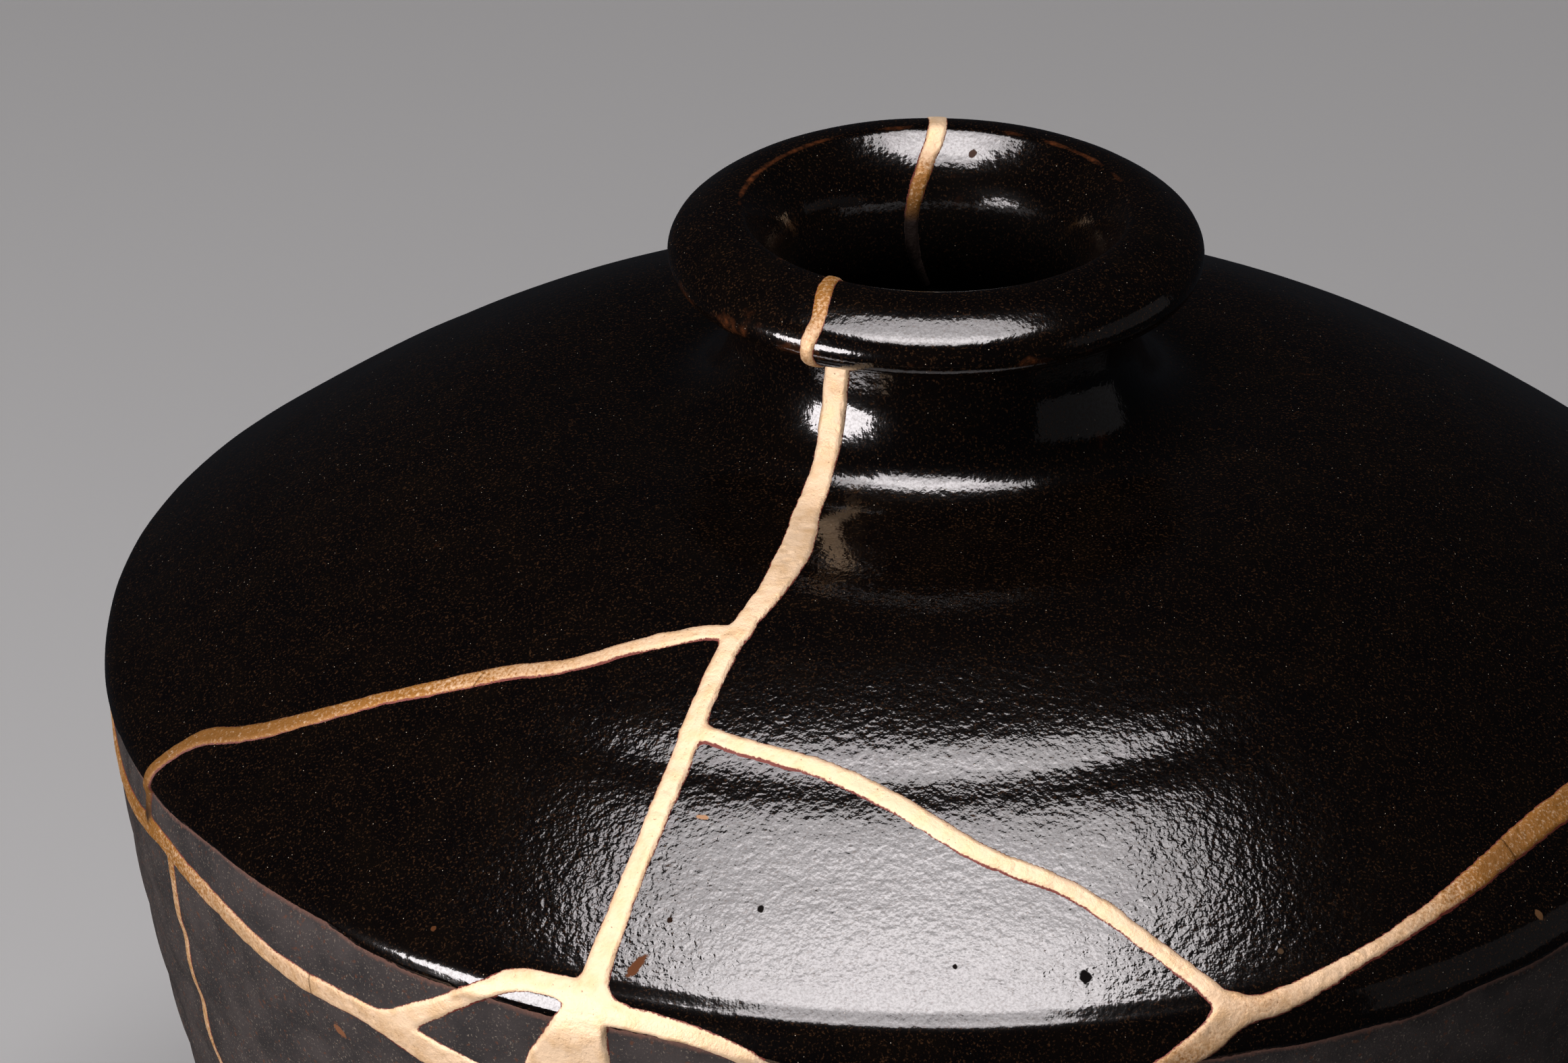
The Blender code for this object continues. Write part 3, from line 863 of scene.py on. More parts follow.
def add_node(
    tree: bpy.types.NodeTree,
    kind: str,
    inputs: Optional[dict[Any, Any]] = None,
    stops: Sequence[tuple[float, Any]] = (),
    out: Any = 0,
    **settings: Any,
) -> bpy.types.NodeSocket:
    """Adds one node with its settings, values and links.

    Args:
        tree: the material's tree.
        kind: the node's type.
        inputs: a value or a socket for each input, by name or number.
        stops: positions and hex colours of a colour ramp.
        out: which output is wanted, by name or number.
        settings: the node's own properties.

    Returns:
        The wanted output.
    """
    made = tree.nodes.new(kind)
    for name, value in settings.items():
        setattr(made, name, value)
    for key, value in (inputs or {}).items():
        socket = made.inputs[key]
        if isinstance(value, bpy.types.NodeSocket):
            tree.links.new(value, socket)
        else:
            socket.default_value = linear(value) if isinstance(value, str) else value
    if stops:
        elements = made.color_ramp.elements
        while len(elements) < len(stops):
            elements.new(0.5)
        for element, (position, value) in zip(elements, stops):
            element.position = position
            element.color = linear(value) if isinstance(value, str) else (value, value, value, 1)
    return made.outputs[out]


def new_material(name: str) -> tuple[bpy.types.Material, bpy.types.Node, Any, bpy.types.NodeSocket]:
    """An empty node material.

    Args:
        name: what the real material is.

    Returns:
        The material, its Principled BSDF, add_node for its tree, and its Object coordinates.
    """
    material = bpy.data.materials.new(name)
    material.use_nodes = True
    add = partial(add_node, material.node_tree)
    return material, material.node_tree.nodes["Principled BSDF"], add, add("ShaderNodeTexCoord", out="Object")


@dataclass(frozen=True)
class GlazeMark:
    """A flaw in the glaze: its azimuth, run, length and width in mm, lean in degrees, and colour."""

    azimuth: float
    run: float
    length: float
    width: float
    lean: float
    colour: str


@dataclass(frozen=True)
class TenmokuOnStoneware:
    """Iron-saturated black glaze, wet-glossy, with the pinprick crystals and flaws of a wood kiln.

    It thins to rust where it drains off ridges, and on the dome it has an orange-peel skin that
    breaks up reflections. Below its edge the bare stoneware is matte, near black, with some grit.
    """

    glaze: str = "030202"
    glaze_warm: str = "080503"
    speckle: str = "342214"
    rust: str = "5c3219"
    rust_dark: str = "23130a"
    grit: str = "8f8474"
    clay: str = "262424"
    clay_light: str = "332f2e"
    clay_rust: str = "4a2f22"
    edge_line: str = "5e443b"
    coat_roughness: float = 0.09
    coat_ior: float = 1.52
    body_specular: float = 0.05
    marks: tuple[GlazeMark, ...] = (
        GlazeMark(10.6, 127.2, 2.0, 1.7, 0, "060404"),
        GlazeMark(-19.8, 128.9, 4.2, 1.5, -24, "4a2c1a"),
        GlazeMark(-12.2, 118.4, 1.1, 0.9, 0, "0a0706"),
        GlazeMark(-18.5, 121.8, 0.9, 0.8, 0, "1c110b"),
        GlazeMark(1.8, 125.0, 0.7, 0.6, 0, "0a0706"),
        GlazeMark(-42.8, 152.3, 2.5, 1.5, 52, "5e3e2a"),
        GlazeMark(44.1, 133.7, 1.6, 1.1, 20, "4a3420"),
        GlazeMark(24.4, 127.6, 0.9, 0.9, 0, "3c2e20"),
        GlazeMark(-34.8, 131.2, 0.9, 0.9, 0, "3c2210"),
        GlazeMark(168, -3.8, 1.3, 1.2, 0, "3a2c26"),
        GlazeMark(-18.6, 106.4, 0.7, 1.7, 0, "8a6a50"),
    )
    # How ragged a mark's rim is, and the distances between which it fades in, as shares of its size.
    MARK_RAGGED = 1.1
    MARK_RIM = (1.6, 1.35)
    MARK_DEPTH = 2

    def make(self, surface: JarSurface) -> bpy.types.Material:
        """Builds the one material of every sherd.

        Args:
            surface: the jar's skin, which places the marks.

        Returns:
            The material.
        """
        material, shader, add, place = new_material("tenmoku glaze on stoneware")
        above = add(ATTRIBUTE, attribute_name="above_edge_mm", out="Fac")
        thin = add(ATTRIBUTE, attribute_name="thin_glaze", out="Fac")
        peel = add(ATTRIBUTE, attribute_name="peel", out="Fac")
        gloss = add(ATTRIBUTE, attribute_name="gloss", out="Fac")
        grain = add(NOISE, {"Vector": place, "Scale": per_mm(0.9), "Detail": 3.0})
        mottle = add(NOISE, {"Vector": place, "Scale": per_mm(6.0), "Detail": 4.0})
        fine = add(NOISE, {"Vector": place, "Scale": per_mm(0.35), "Detail": 2.0, "Roughness": 0.6})
        wander = add(MATHS, {0: grain, 1: 0.9, 2: above}, operation="MULTIPLY_ADD")
        wander = add(MATHS, {0: wander, 1: 0.45}, operation="SUBTRACT")
        glazed = add(RANGE, {"Value": wander, "From Min": -0.1, "From Max": 0.1})

        # The crystals are under 0.1 mm, and are drawn at about 0.15 mm so that they show.
        cells = {"Vector": place, "Scale": per_mm(1.3)}
        near = add(RANGE, {"Value": add(VORONOI, cells), "From Min": 0.06, "From Max": 0.035})
        chosen = add(MATHS, {0: add(VORONOI, cells, out="Color"), 1: 0.45}, operation="GREATER_THAN")
        crystals = add(MATHS, {0: near, 1: chosen}, operation="MULTIPLY")
        rusting = add(MATHS, {0: mottle, 1: 0.9, 2: thin}, operation="MULTIPLY_ADD")
        rusting = add(RAMP, {0: rusting}, [(0.66, 0.0), (1.12, 1.0)])
        patches = add(RAMP, {0: grain}, [(0.35, 0.0), (0.65, 1.0)])
        rust = add(MIX, {0: patches, 6: self.rust_dark, 7: self.rust}, **COLOURS)
        glaze: Any = self.glaze
        for amount, over in (
            (add(RAMP, {0: mottle}, [(0.4, 0.0), (0.7, 0.5)]), self.glaze_warm),
            (add(RAMP, {0: fine}, [(0.57, 0.0), (0.73, 0.7)]), self.speckle),
            (rusting, rust),
            (crystals, self.grit),
        ):
            glaze = add(MIX, {0: amount, 6: glaze, 7: over}, **COLOURS)

        line = add(RANGE, {"Value": wander, "From Min": -0.9, "From Max": -0.1, "To Max": 0.9})
        clay: Any = self.clay
        for amount, over in (
            (add(RAMP, {0: mottle}, [(0.35, 0.0), (0.65, 1.0)]), self.clay_light),
            (add(RAMP, {0: grain}, [(0.62, 0.0), (0.7, 0.7)]), self.clay_rust),
            (add(RAMP, {0: fine}, [(0.6, 0.0), (0.76, 0.42)]), self.grit),
            (line, self.edge_line),
        ):
            clay = add(MIX, {0: amount, 6: clay, 7: over}, **COLOURS)
        colour = add(MIX, {0: glazed, 6: clay, 7: glaze}, **COLOURS)
        shiny = add(MATHS, {0: glazed, 1: gloss}, operation="MULTIPLY")
        for mark in self.marks:
            amount = self.marked(add, surface, mark, place, grain)
            colour = add(MIX, {0: amount, 6: colour, 7: mark.colour}, **COLOURS)
            shiny = add(MATHS, {0: shiny, 1: amount}, operation="SUBTRACT", use_clamp=True)

        rough = add(RANGE, {"Value": shiny, "To Min": 0.85, "To Max": 0.2})

        swelling = add(NOISE, {"Vector": place, "Scale": per_mm(1.3), "Detail": 1.0, "Roughness": 0.4})
        stipple = add(NOISE, {"Vector": place, "Scale": per_mm(0.5), "Detail": 1.0, "Roughness": 0.5})
        skin = add(MATHS, {0: stipple, 1: 0.55, 2: swelling}, operation="MULTIPLY_ADD")
        skin = add(MATHS, {0: skin, 1: peel}, operation="MULTIPLY")
        height = add(MIX, {0: glazed, 2: fine, 3: skin})
        bump = add(BUMP, {"Height": height, "Distance": 0.075 * MM, "Strength": 1.0})
        # Fine crystals in the glaze's face dull its gloss in specks.
        dull = add(RAMP, {0: fine}, [(0.42, 0.0), (0.72, 0.38)])
        shiny = add(MATHS, {0: dull, 1: -1.0, 2: shiny}, operation="MULTIPLY_ADD", use_clamp=True)
        shader.inputs["Coat Roughness"].default_value = self.coat_roughness
        shader.inputs["Coat IOR"].default_value = self.coat_ior
        shader.inputs["Specular IOR Level"].default_value = self.body_specular
        sockets = {"Base Color": colour, "Roughness": rough, "Normal": bump}
        sockets |= {"Coat Weight": shiny, "Coat Normal": bump}
        for name, value in sockets.items():
            material.node_tree.links.new(value, shader.inputs[name])
        return material

    def marked(
        self,
        add: Any,
        surface: JarSurface,
        mark: GlazeMark,
        place: bpy.types.NodeSocket,
        grain: bpy.types.NodeSocket,
    ) -> bpy.types.NodeSocket:
        """Where a mark is: 1 inside an ellipsoid with a ragged rim that lies on the skin.

        Args:
            add: add_node for the material's tree.
            surface: the jar's skin.
            mark: the flaw.
            place: Object coordinates.
            grain: noise for the rim.

        Returns:
            The amount of the mark.
        """
        azimuth, run = np.array([mark.azimuth]), np.array([mark.run])
        centre = surface.skin(azimuth, run)[0] * MM
        outward = Vector(surface.normals(azimuth, run)[0])
        down = Vector(surface.turned(azimuth, run + 0.5)[0] - surface.turned(azimuth, run - 0.5)[0])
        down.normalize()
        down = Matrix.Rotation(math.radians(mark.lean), 3, outward) @ down
        turn = Matrix((down.cross(outward), down, outward)).transposed()
        half = (mark.width * MM / 2, mark.length * MM / 2, self.MARK_DEPTH * MM)
        local = add("ShaderNodeMapping", {
            "Vector": place, "Location": centre, "Rotation": turn.to_euler(), "Scale": half,
        }, vector_type="TEXTURE")
        away = add(VECTOR, {0: local}, out="Value", operation="LENGTH")
        away = add(MATHS, {0: grain, 1: self.MARK_RAGGED, 2: away}, operation="MULTIPLY_ADD")
        return add(RANGE, {"Value": away, "From Min": self.MARK_RIM[0], "From Max": self.MARK_RIM[1]})


@dataclass(frozen=True)
class GoldOnLacquer:
    """Gold powder over lacquer: matte rough metal under a thin fixing coat that lights it palely.

    It is finely pitted, and red-brown lacquer shows at its very edge, most on the lower side. It
    browns and darkens with tarnish, and with painted shade where the seams turn away from the lights
    and inside the mouth.
    """

    gold: str = "d2b99a"
    deep: str = "c39f70"
    worn_and_shaded: str = "885918"
    dark: str = "1d0f08"
    lacquer: str = "5a1c0e"
    pit: str = "4a2a12"
    coat_roughness: float = 0.5

    def make(self) -> bpy.types.Material:
        """Builds the seams' material.

        Returns:
            The material.
        """
        material, shader, add, place = new_material("gold powder over lacquer")
        edge = add(ATTRIBUTE, attribute_name="from_edge_mm", out="Fac")
        tarnish_and_shade = add(ATTRIBUTE, attribute_name="tarnish_and_shade", out="Fac")
        # Gold powder is a few hundredths of a mm. Its clumps are drawn at 0.45 mm so that they show.
        fine = add(NOISE, {"Vector": place, "Scale": per_mm(0.45), "Detail": 3.0, "Roughness": 0.6})
        broad = add(NOISE, {"Vector": place, "Scale": per_mm(2.6), "Detail": 3.0})
        ragged = add(MATHS, {0: fine, 1: -0.5, 2: edge}, operation="MULTIPLY_ADD")
        bare = add(RANGE, {"Value": ragged, "From Min": -0.16, "From Max": -0.3})
        pits = add(RAMP, {0: fine}, [(0.25, 0.8), (0.34, 0.0)])
        # The seams' tarnish and shade amount browns the gold, with noise: partly tarnish, partly painted
        # shade where the seams turn away from the lights and inside the mouth.
        mottled = add(MATHS, {0: fine, 1: 0.5}, operation="SUBTRACT")
        mottled = add(MATHS, {0: mottled, 1: tarnish_and_shade}, operation="MULTIPLY")
        mottled = add(MATHS, {0: mottled, 1: -3.0, 2: tarnish_and_shade}, operation="MULTIPLY_ADD")
        colour: Any = self.gold
        for amount, over in (
            (add(RAMP, {0: broad}, [(0.42, 0.0), (0.68, 0.6)]), self.deep),
            (add(RANGE, {"Value": mottled, "From Max": 0.6}), self.worn_and_shaded),
            (pits, self.pit),
            (bare, self.lacquer),
            # Where that amount passes 0.6, on the far sides and deep in the mouth, the gold goes near black
            # as painted shade.
            (add(RANGE, {"Value": tarnish_and_shade, "From Min": 0.6, "From Max": 1.0}), self.dark),
        ):
            colour = add(MIX, {0: amount, 6: colour, 7: over}, **COLOURS)
        metal = add(RANGE, {"Value": bare, "To Min": 0.55, "To Max": 0.1})
        rough = add(RAMP, {0: broad}, [(0.3, 0.75), (0.7, 0.6)])
        wrinkle = add(MATHS, {0: fine, 1: 0.6, 2: broad}, operation="MULTIPLY_ADD")
        bump = add(BUMP, {"Height": wrinkle, "Distance": 0.16 * MM, "Strength": 1.0})
        coat = add(RANGE, {"Value": bare, "To Min": 0.3, "To Max": 0.0})
        shader.inputs["Coat Roughness"].default_value = self.coat_roughness
        sockets = {"Base Color": colour, "Metallic": metal, "Roughness": rough, "Normal": bump}
        sockets |= {"Coat Weight": coat, "Coat Normal": bump}
        for name, value in sockets.items():
            material.node_tree.links.new(value, shader.inputs[name])
        return material


# ---------------------------------------------------------------------------
# Meshes
# ---------------------------------------------------------------------------


def mesh_object(
    name: str,
    points: np.ndarray,
    triangles: np.ndarray,
    normals: np.ndarray,
    attributes: dict[str, np.ndarray],
    material: bpy.types.Material,
) -> bpy.types.Object:
    """Makes a smooth mesh object from arrays.

    Args:
        name: the object's name.
        points: places in mm.
        triangles: three point numbers a row.
        normals: a unit normal a point.
        attributes: one value a point, by name.
        material: its material.

    Returns:
        The object, at the origin.
    """
    used, index = np.unique(triangles, return_inverse=True)
    triangles = index.reshape(-1, 3)
    mesh = bpy.data.meshes.new(name)
    mesh.vertices.add(len(used))
    mesh.vertices.foreach_set("co", (points[used] * MM).astype(np.float32).ravel())
    mesh.loops.add(triangles.size)
    mesh.loops.foreach_set("vertex_index", triangles.astype(np.int32).ravel())
    mesh.polygons.add(len(triangles))
    mesh.polygons.foreach_set("loop_start", np.arange(0, triangles.size, 3, dtype=np.int32))
    mesh.polygons.foreach_set("use_smooth", np.ones(len(triangles), dtype=bool))
    mesh.update(calc_edges=True)
    for title, values in attributes.items():
        layer = mesh.attributes.new(title, "FLOAT", "POINT")
        layer.data.foreach_set("value", values[used].astype(np.float32))
    mesh.normals_split_custom_set_from_vertices(normals[used].tolist())
    mesh.materials.append(material)
    made = bpy.data.objects.new(name, mesh)
    bpy.context.scene.collection.objects.link(made)
    return made


def quads_to_triangles(quads: np.ndarray, points: np.ndarray) -> np.ndarray:
    """Splits quads on the diagonal that leaves the larger smaller half, and drops what has no area.

    Args:
        quads: four point numbers a row.
        points: places in mm.

    Returns:
        Three point numbers a row.
    """
    first = np.stack([quads[:, [0, 1, 2]], quads[:, [0, 2, 3]]], axis=1)
    second = np.stack([quads[:, [0, 1, 3]], quads[:, [1, 2, 3]]], axis=1)

    def areas(triangles: np.ndarray) -> np.ndarray:
        """Half the length of the cross product of two sides."""
        corner, one, other = np.moveaxis(points[triangles], -2, 0)
        return np.linalg.norm(np.cross(one - corner, other - corner), axis=-1) / 2

    pick = areas(first).min(axis=1) >= areas(second).min(axis=1)
    triangles = np.where(pick[:, None, None], first, second).reshape(-1, 3)
    return triangles[areas(triangles) > LEAST_AREA]


# ---------------------------------------------------------------------------
# The sherds
# ---------------------------------------------------------------------------


@dataclass(frozen=True)
class Sherd:
    """One sherd: the CAD node it stands for, its slot, and the breaks that bound it.

    Each side is (break, where it starts, where it ends), as places of (azimuth, run).
    """

    node: str
    slot: Slot
    sides: tuple[tuple[str, tuple[float, float], tuple[float, float]], ...] = ()


SHERDS = {
    "thrown_lower_body": Sherd("lower_body", Slot.STONEWARE),
    "glazed_left_shoulder": Sherd("shoulder_sherd_left", Slot.GLAZE, (
        ("main", (-31, 0), (-22.3, 77)), ("left_branch", (-22.3, 77), (-67.3, 143.1)),
        ("left_girdle", (-66.5, 143.2), (-198, 142)), ("back", (-198, 142), (-180, 0)),
    )),
    "glazed_right_shoulder": Sherd("shoulder_sherd_right", Slot.GLAZE, (
        ("main", (-31, 0), (-22.2, 94)), ("right_branch", (-22.2, 94), (20, 134.1)),
        ("right_girdle", (20, 134.1), (162, 142)), ("back", (162, 142), (180, 0)),
    )),
    "glazed_front": Sherd("front_sherd", Slot.GLAZE, (
        ("right_branch", (-22.2, 94), (20, 134.1)), ("front_right", (20, 134.1), (2, 152.9)),
        ("front_left", (2, 152.9), (-22.3, 134.2)), ("main", (-22.3, 134.2), (-22.2, 94)),
    )),
    "glazed_front_left": Sherd("front_left_sherd", Slot.GLAZE, (
        ("main", (-22.3, 77), (-22.3, 134.2)), ("loop", (-22.3, 134.2), (-37.6, 146.7)),
        ("left_girdle", (-37.6, 147.8), (-66.5, 143.2)), ("left_branch", (-67.3, 143.1), (-22.3, 77)),
    )),
    "glazed_edge": Sherd("edge_sherd", Slot.GLAZE, (
        ("loop", (-37.6, 146.7), (-22.3, 134.2)), ("chip_fill", (-22.3, 134), (-24.7, 154.9)),
        ("left_girdle", (-25.6, 153.3), (-37.6, 147.8)),
    )),
}


class ThrownJar:
    """The jar's clay and glaze, parted into its sherds."""

    # Each band of rows is (first run, last run, step), and the foot's rows follow the last.
    COLUMNS = 300
    ROWS = ((0, 20, 0.4), (20, 46, 0.8), (46, 126, 1.6), (126, 158, 0.65), (158, 280, 1.25))
    FOOT_ROWS = 12
    STATIONS = 0.4
    OUTLINE_STRIDE = 4
    SNAP = 2.4
    ALL_GLAZE = 20.0
    # Runs between which the glaze's ripple grows from half to full and then falls by a share, and
    # those inside the throat between which its gloss falls by a share.
    RIPPLE_GROWS = (42, 66)
    RIPPLE_FALLS, RIPPLE_LOSS = (127, 133), 0.7
    GLOSS_FALLS, GLOSS_LOSS = (6, 13), 0.75
    # The glaze drains off in bands of the run: the mouth's ridge, the lip's face and under the lip.
    # A bell is (centre, width), and each of the ridge's patches is (amount, azimuth, width).
    RIDGE_BELL, RIDGE_THIN = (0.2, 0.55), 0.16
    RIDGE_PATCHES = ((0.3, -118, 42), (0.4, 133, 14))
    LIP_BELL, LIP_AZIMUTHS, LIP_THIN = (11.5, 2.6), (-52, 30), 0.2
    UNDER_BELL, UNDER_THIN = (13.8, 1.2), 0.18
    PATCH_GRAIN = 9

    def __init__(self, surface: JarSurface, breaks: dict[str, Break]) -> None:
        """Lays the grid and its points.

        Args:
            surface: the jar's skin.
            breaks: the breaks by name.
        """
        self.surface = surface
        self.paths = {name: piece.path(self.STATIONS) for name, piece in breaks.items()}
        rows = [np.arange(low, high, step) for low, high, step in self.ROWS]
        rows.append(np.linspace(self.ROWS[-1][1], surface.section.end_run, self.FOOT_ROWS))
        self.runs = np.concatenate(rows)
        self.azimuths = np.arange(self.COLUMNS) * 360 / self.COLUMNS - 180
        self.labels = self.label_cells()
        self.lay_points()

    def side(self, name: str, start: tuple[float, float], end: tuple[float, float]) -> np.ndarray:
        """The stations of a break from one place to another, turned by whole turns to the start.

        Args:
            name: the break's name.
            start: azimuth and run of the first place.
            end: azimuth and run of the last place.

        Returns:
            Rows of azimuth and run.
        """
        path = self.paths[name][:, :2]
        first, last = (
            int(np.argmin(np.hypot(wrapped(path[:, 0] - azimuth), path[:, 1] - run)))
            for azimuth, run in (start, end)
        )
        chain = path[first : last + 1] if first <= last else path[last : first + 1][::-1]
        turns = np.round((start[0] - chain[0, 0]) / 360) * 360
        return chain[:: self.OUTLINE_STRIDE] + (turns, 0)

    def label_cells(self) -> np.ndarray:
        """The number of the sherd that each cell belongs to.

        A cell is inside an outline if a line from its centre crosses the outline an odd number
        of times.

        Returns:
            Numbers by row and column of the grid.
        """
        azimuth = self.azimuths + 180 / self.COLUMNS
        run = (self.runs[:-1] + self.runs[1:]) / 2
        labels = np.zeros((len(run), len(azimuth)), dtype=int)
        for number, sherd in enumerate(SHERDS.values()):
            if not sherd.sides:
                continue
            outline = np.vstack([self.side(*side) for side in sherd.sides])
            following = np.roll(outline, -1, axis=0)
            for turns in (-360, 0, 360):
                turned = azimuth + turns
                columns = np.nonzero((turned > outline[:, 0].min()) & (turned < outline[:, 0].max()))[0]
                x = turned[columns][None, :, None]
                y = run[:, None, None]
                spans = (outline[:, 1] > y) != (following[:, 1] > y)
                slope = (following[:, 0] - outline[:, 0]) / np.where(
                    following[:, 1] == outline[:, 1], 1e-9, following[:, 1] - outline[:, 1]
                )
                crossed = spans & (x < outline[:, 0] + slope * (y - outline[:, 1]))
                inside = crossed.sum(axis=2) % 2 == 1
                block = labels[:, columns]
                block[inside] = number
                labels[:, columns] = block
        return labels

    def lay_points(self) -> None:
        """Points outside and inside, with those between two sherds moved onto the break."""
        surface, section = self.surface, self.surface.section
        azimuth, run = np.meshgrid(self.azimuths, self.runs)
        padded = np.vstack([self.labels[:1], self.labels, self.labels[-1:]])
        around = [padded[:-1], padded[1:], np.roll(padded[:-1], 1, 1), np.roll(padded[1:], 1, 1)]
        between = np.any([block != around[0] for block in around], axis=0)
        path = np.vstack([stations[:, :2] for stations in self.paths.values()])
        path = path[path[:, 1] >= 0]
        on_path = surface.turned(path[:, 0], path[:, 1])
        apart = np.linalg.norm(surface.turned(azimuth[between], run[between])[:, None] - on_path, axis=2)
        nearest = apart.argmin(axis=1)
        close = apart.min(axis=1) < self.SNAP
        moved_azimuth = np.where(close, path[nearest, 0], azimuth[between])
        moved_run = np.where(close, path[nearest, 1], run[between])
        azimuth[between] = moved_azimuth
        run[between] = np.where(run[between] == 0, 0, moved_run)
        inner_run = section.partner(run)
        self.outer = np.arange(run.size).reshape(run.shape)
        self.inner = self.outer + run.size
        self.outer[-1] = self.outer[-1, 0]
        self.inner[-1] = self.inner[-1, 0]
        self.inner[0] = self.outer[0]
        self.azimuth = np.concatenate([azimuth.ravel(), azimuth.ravel()])
        self.run = np.concatenate([run.ravel(), inner_run.ravel()])
        self.points = surface.skin(self.azimuth, self.run)
        self.normals = surface.normals(self.azimuth, self.run)
        for pole, up in ((self.outer[-1, 0], -1), (self.inner[-1, 0], 1)):
            self.points[pole, :2] = 0
            self.normals[pole] = (0, 0, up)
        places = surface.turned(self.azimuth, self.run)
        above = surface.above_glaze_edge(self.azimuth, self.run, places)
        self.attributes = {
            "above_edge_mm": np.where(self.run < 0, self.ALL_GLAZE, above),
            "thin_glaze": self.thin_glaze(places),
            "peel": (0.5 + 0.5 * ease(self.run, *self.RIPPLE_GROWS)) * (
                1 - self.RIPPLE_LOSS * ease(self.run, *self.RIPPLE_FALLS)
            ),
            "gloss": 1 - self.GLOSS_LOSS * ease(-self.run, *self.GLOSS_FALLS),
        }

    def thin_glaze(self, places: np.ndarray) -> np.ndarray:
        """How far the glaze has drained off, from 0 to 1.

        It is a sum of bells of the run and azimuth: most on the mouth's ridge, far left and back
        right, then on the lip's left and under the lip.

        Args:
            places: the same places on the turned surface.

        Returns:
            A value for each point.
        """
        azimuth, run = wrapped(self.azimuth), self.run
        patchy = 0.5 + 0.5 * drift(places, self.PATCH_GRAIN, 21)
        blotched = 0.3 + 0.7 * patchy
        around: Any = self.RIDGE_THIN
        for amount, centre, width in self.RIDGE_PATCHES:
            around = around + amount * hump(azimuth, centre, width)
        ridge = hump(run, *self.RIDGE_BELL) * around * (0.6 + 0.6 * patchy)
        lip = self.LIP_THIN * hump(run, *self.LIP_BELL) * hump(azimuth, *self.LIP_AZIMUTHS) * blotched
        under = self.UNDER_THIN * hump(run, *self.UNDER_BELL) * blotched
        return ridge + lip + under

    def triangles(self, number: int) -> np.ndarray:
        """One sherd's closed skin: its outside, its inside turned over, and its broken edges.

        Args:
            number: the sherd's number.

        Returns:
            Three point numbers a row.
        """
        mine = self.labels == number
        rows, columns = np.nonzero(mine)
        after = (columns + 1) % self.COLUMNS

        corners = ((rows, columns), (rows + 1, columns), (rows + 1, after), (rows, after))
        outer, inner = (
            np.stack([index[corner] for corner in corners], axis=1) for index in (self.outer, self.inner)
        )
        open_above = np.vstack([np.zeros((1, self.COLUMNS), bool), ~mine[:-1]])
        open_below = np.vstack([~mine[1:], np.zeros((1, self.COLUMNS), bool)])
        open_sides = (~np.roll(mine, 1, axis=1), open_below, ~np.roll(mine, -1, axis=1), open_above)
        walls = []
        for corner, is_open in enumerate(open_sides):
            wall = is_open[rows, columns]
            other = (corner + 1) % 4
            over, under = outer[wall], inner[wall]
            ring = (over[:, other], over[:, corner], under[:, corner], under[:, other])
            walls.append(np.stack(ring, axis=1))
        return quads_to_triangles(np.vstack([outer, inner[:, ::-1], *walls]), self.points)

    def build(self, material: bpy.types.Material) -> list[bpy.types.Object]:
        """Builds each sherd as its own piece.

        Args:
            material: the glaze and clay.

        Returns:
            The pieces.
        """
        pieces = []
        for number, (name, sherd) in enumerate(SHERDS.items()):
            triangles = self.triangles(number)
            piece = mesh_object(name, self.points, triangles, self.normals, self.attributes, material)
            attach(piece, ROOT_BODY)
            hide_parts(sherd.node)
            log.info("%s: %d triangles", name, len(piece.data.polygons))
            pieces.append(piece)
        return pieces


# ---------------------------------------------------------------------------
# The gold seams
# ---------------------------------------------------------------------------


@dataclass(frozen=True)
class SeamStretch:
    """A stretch of gold that is one piece: the runs and azimuths that it covers."""

    name: str
    runs: tuple[float, float]
    azimuths: tuple[float, float]
    step: float


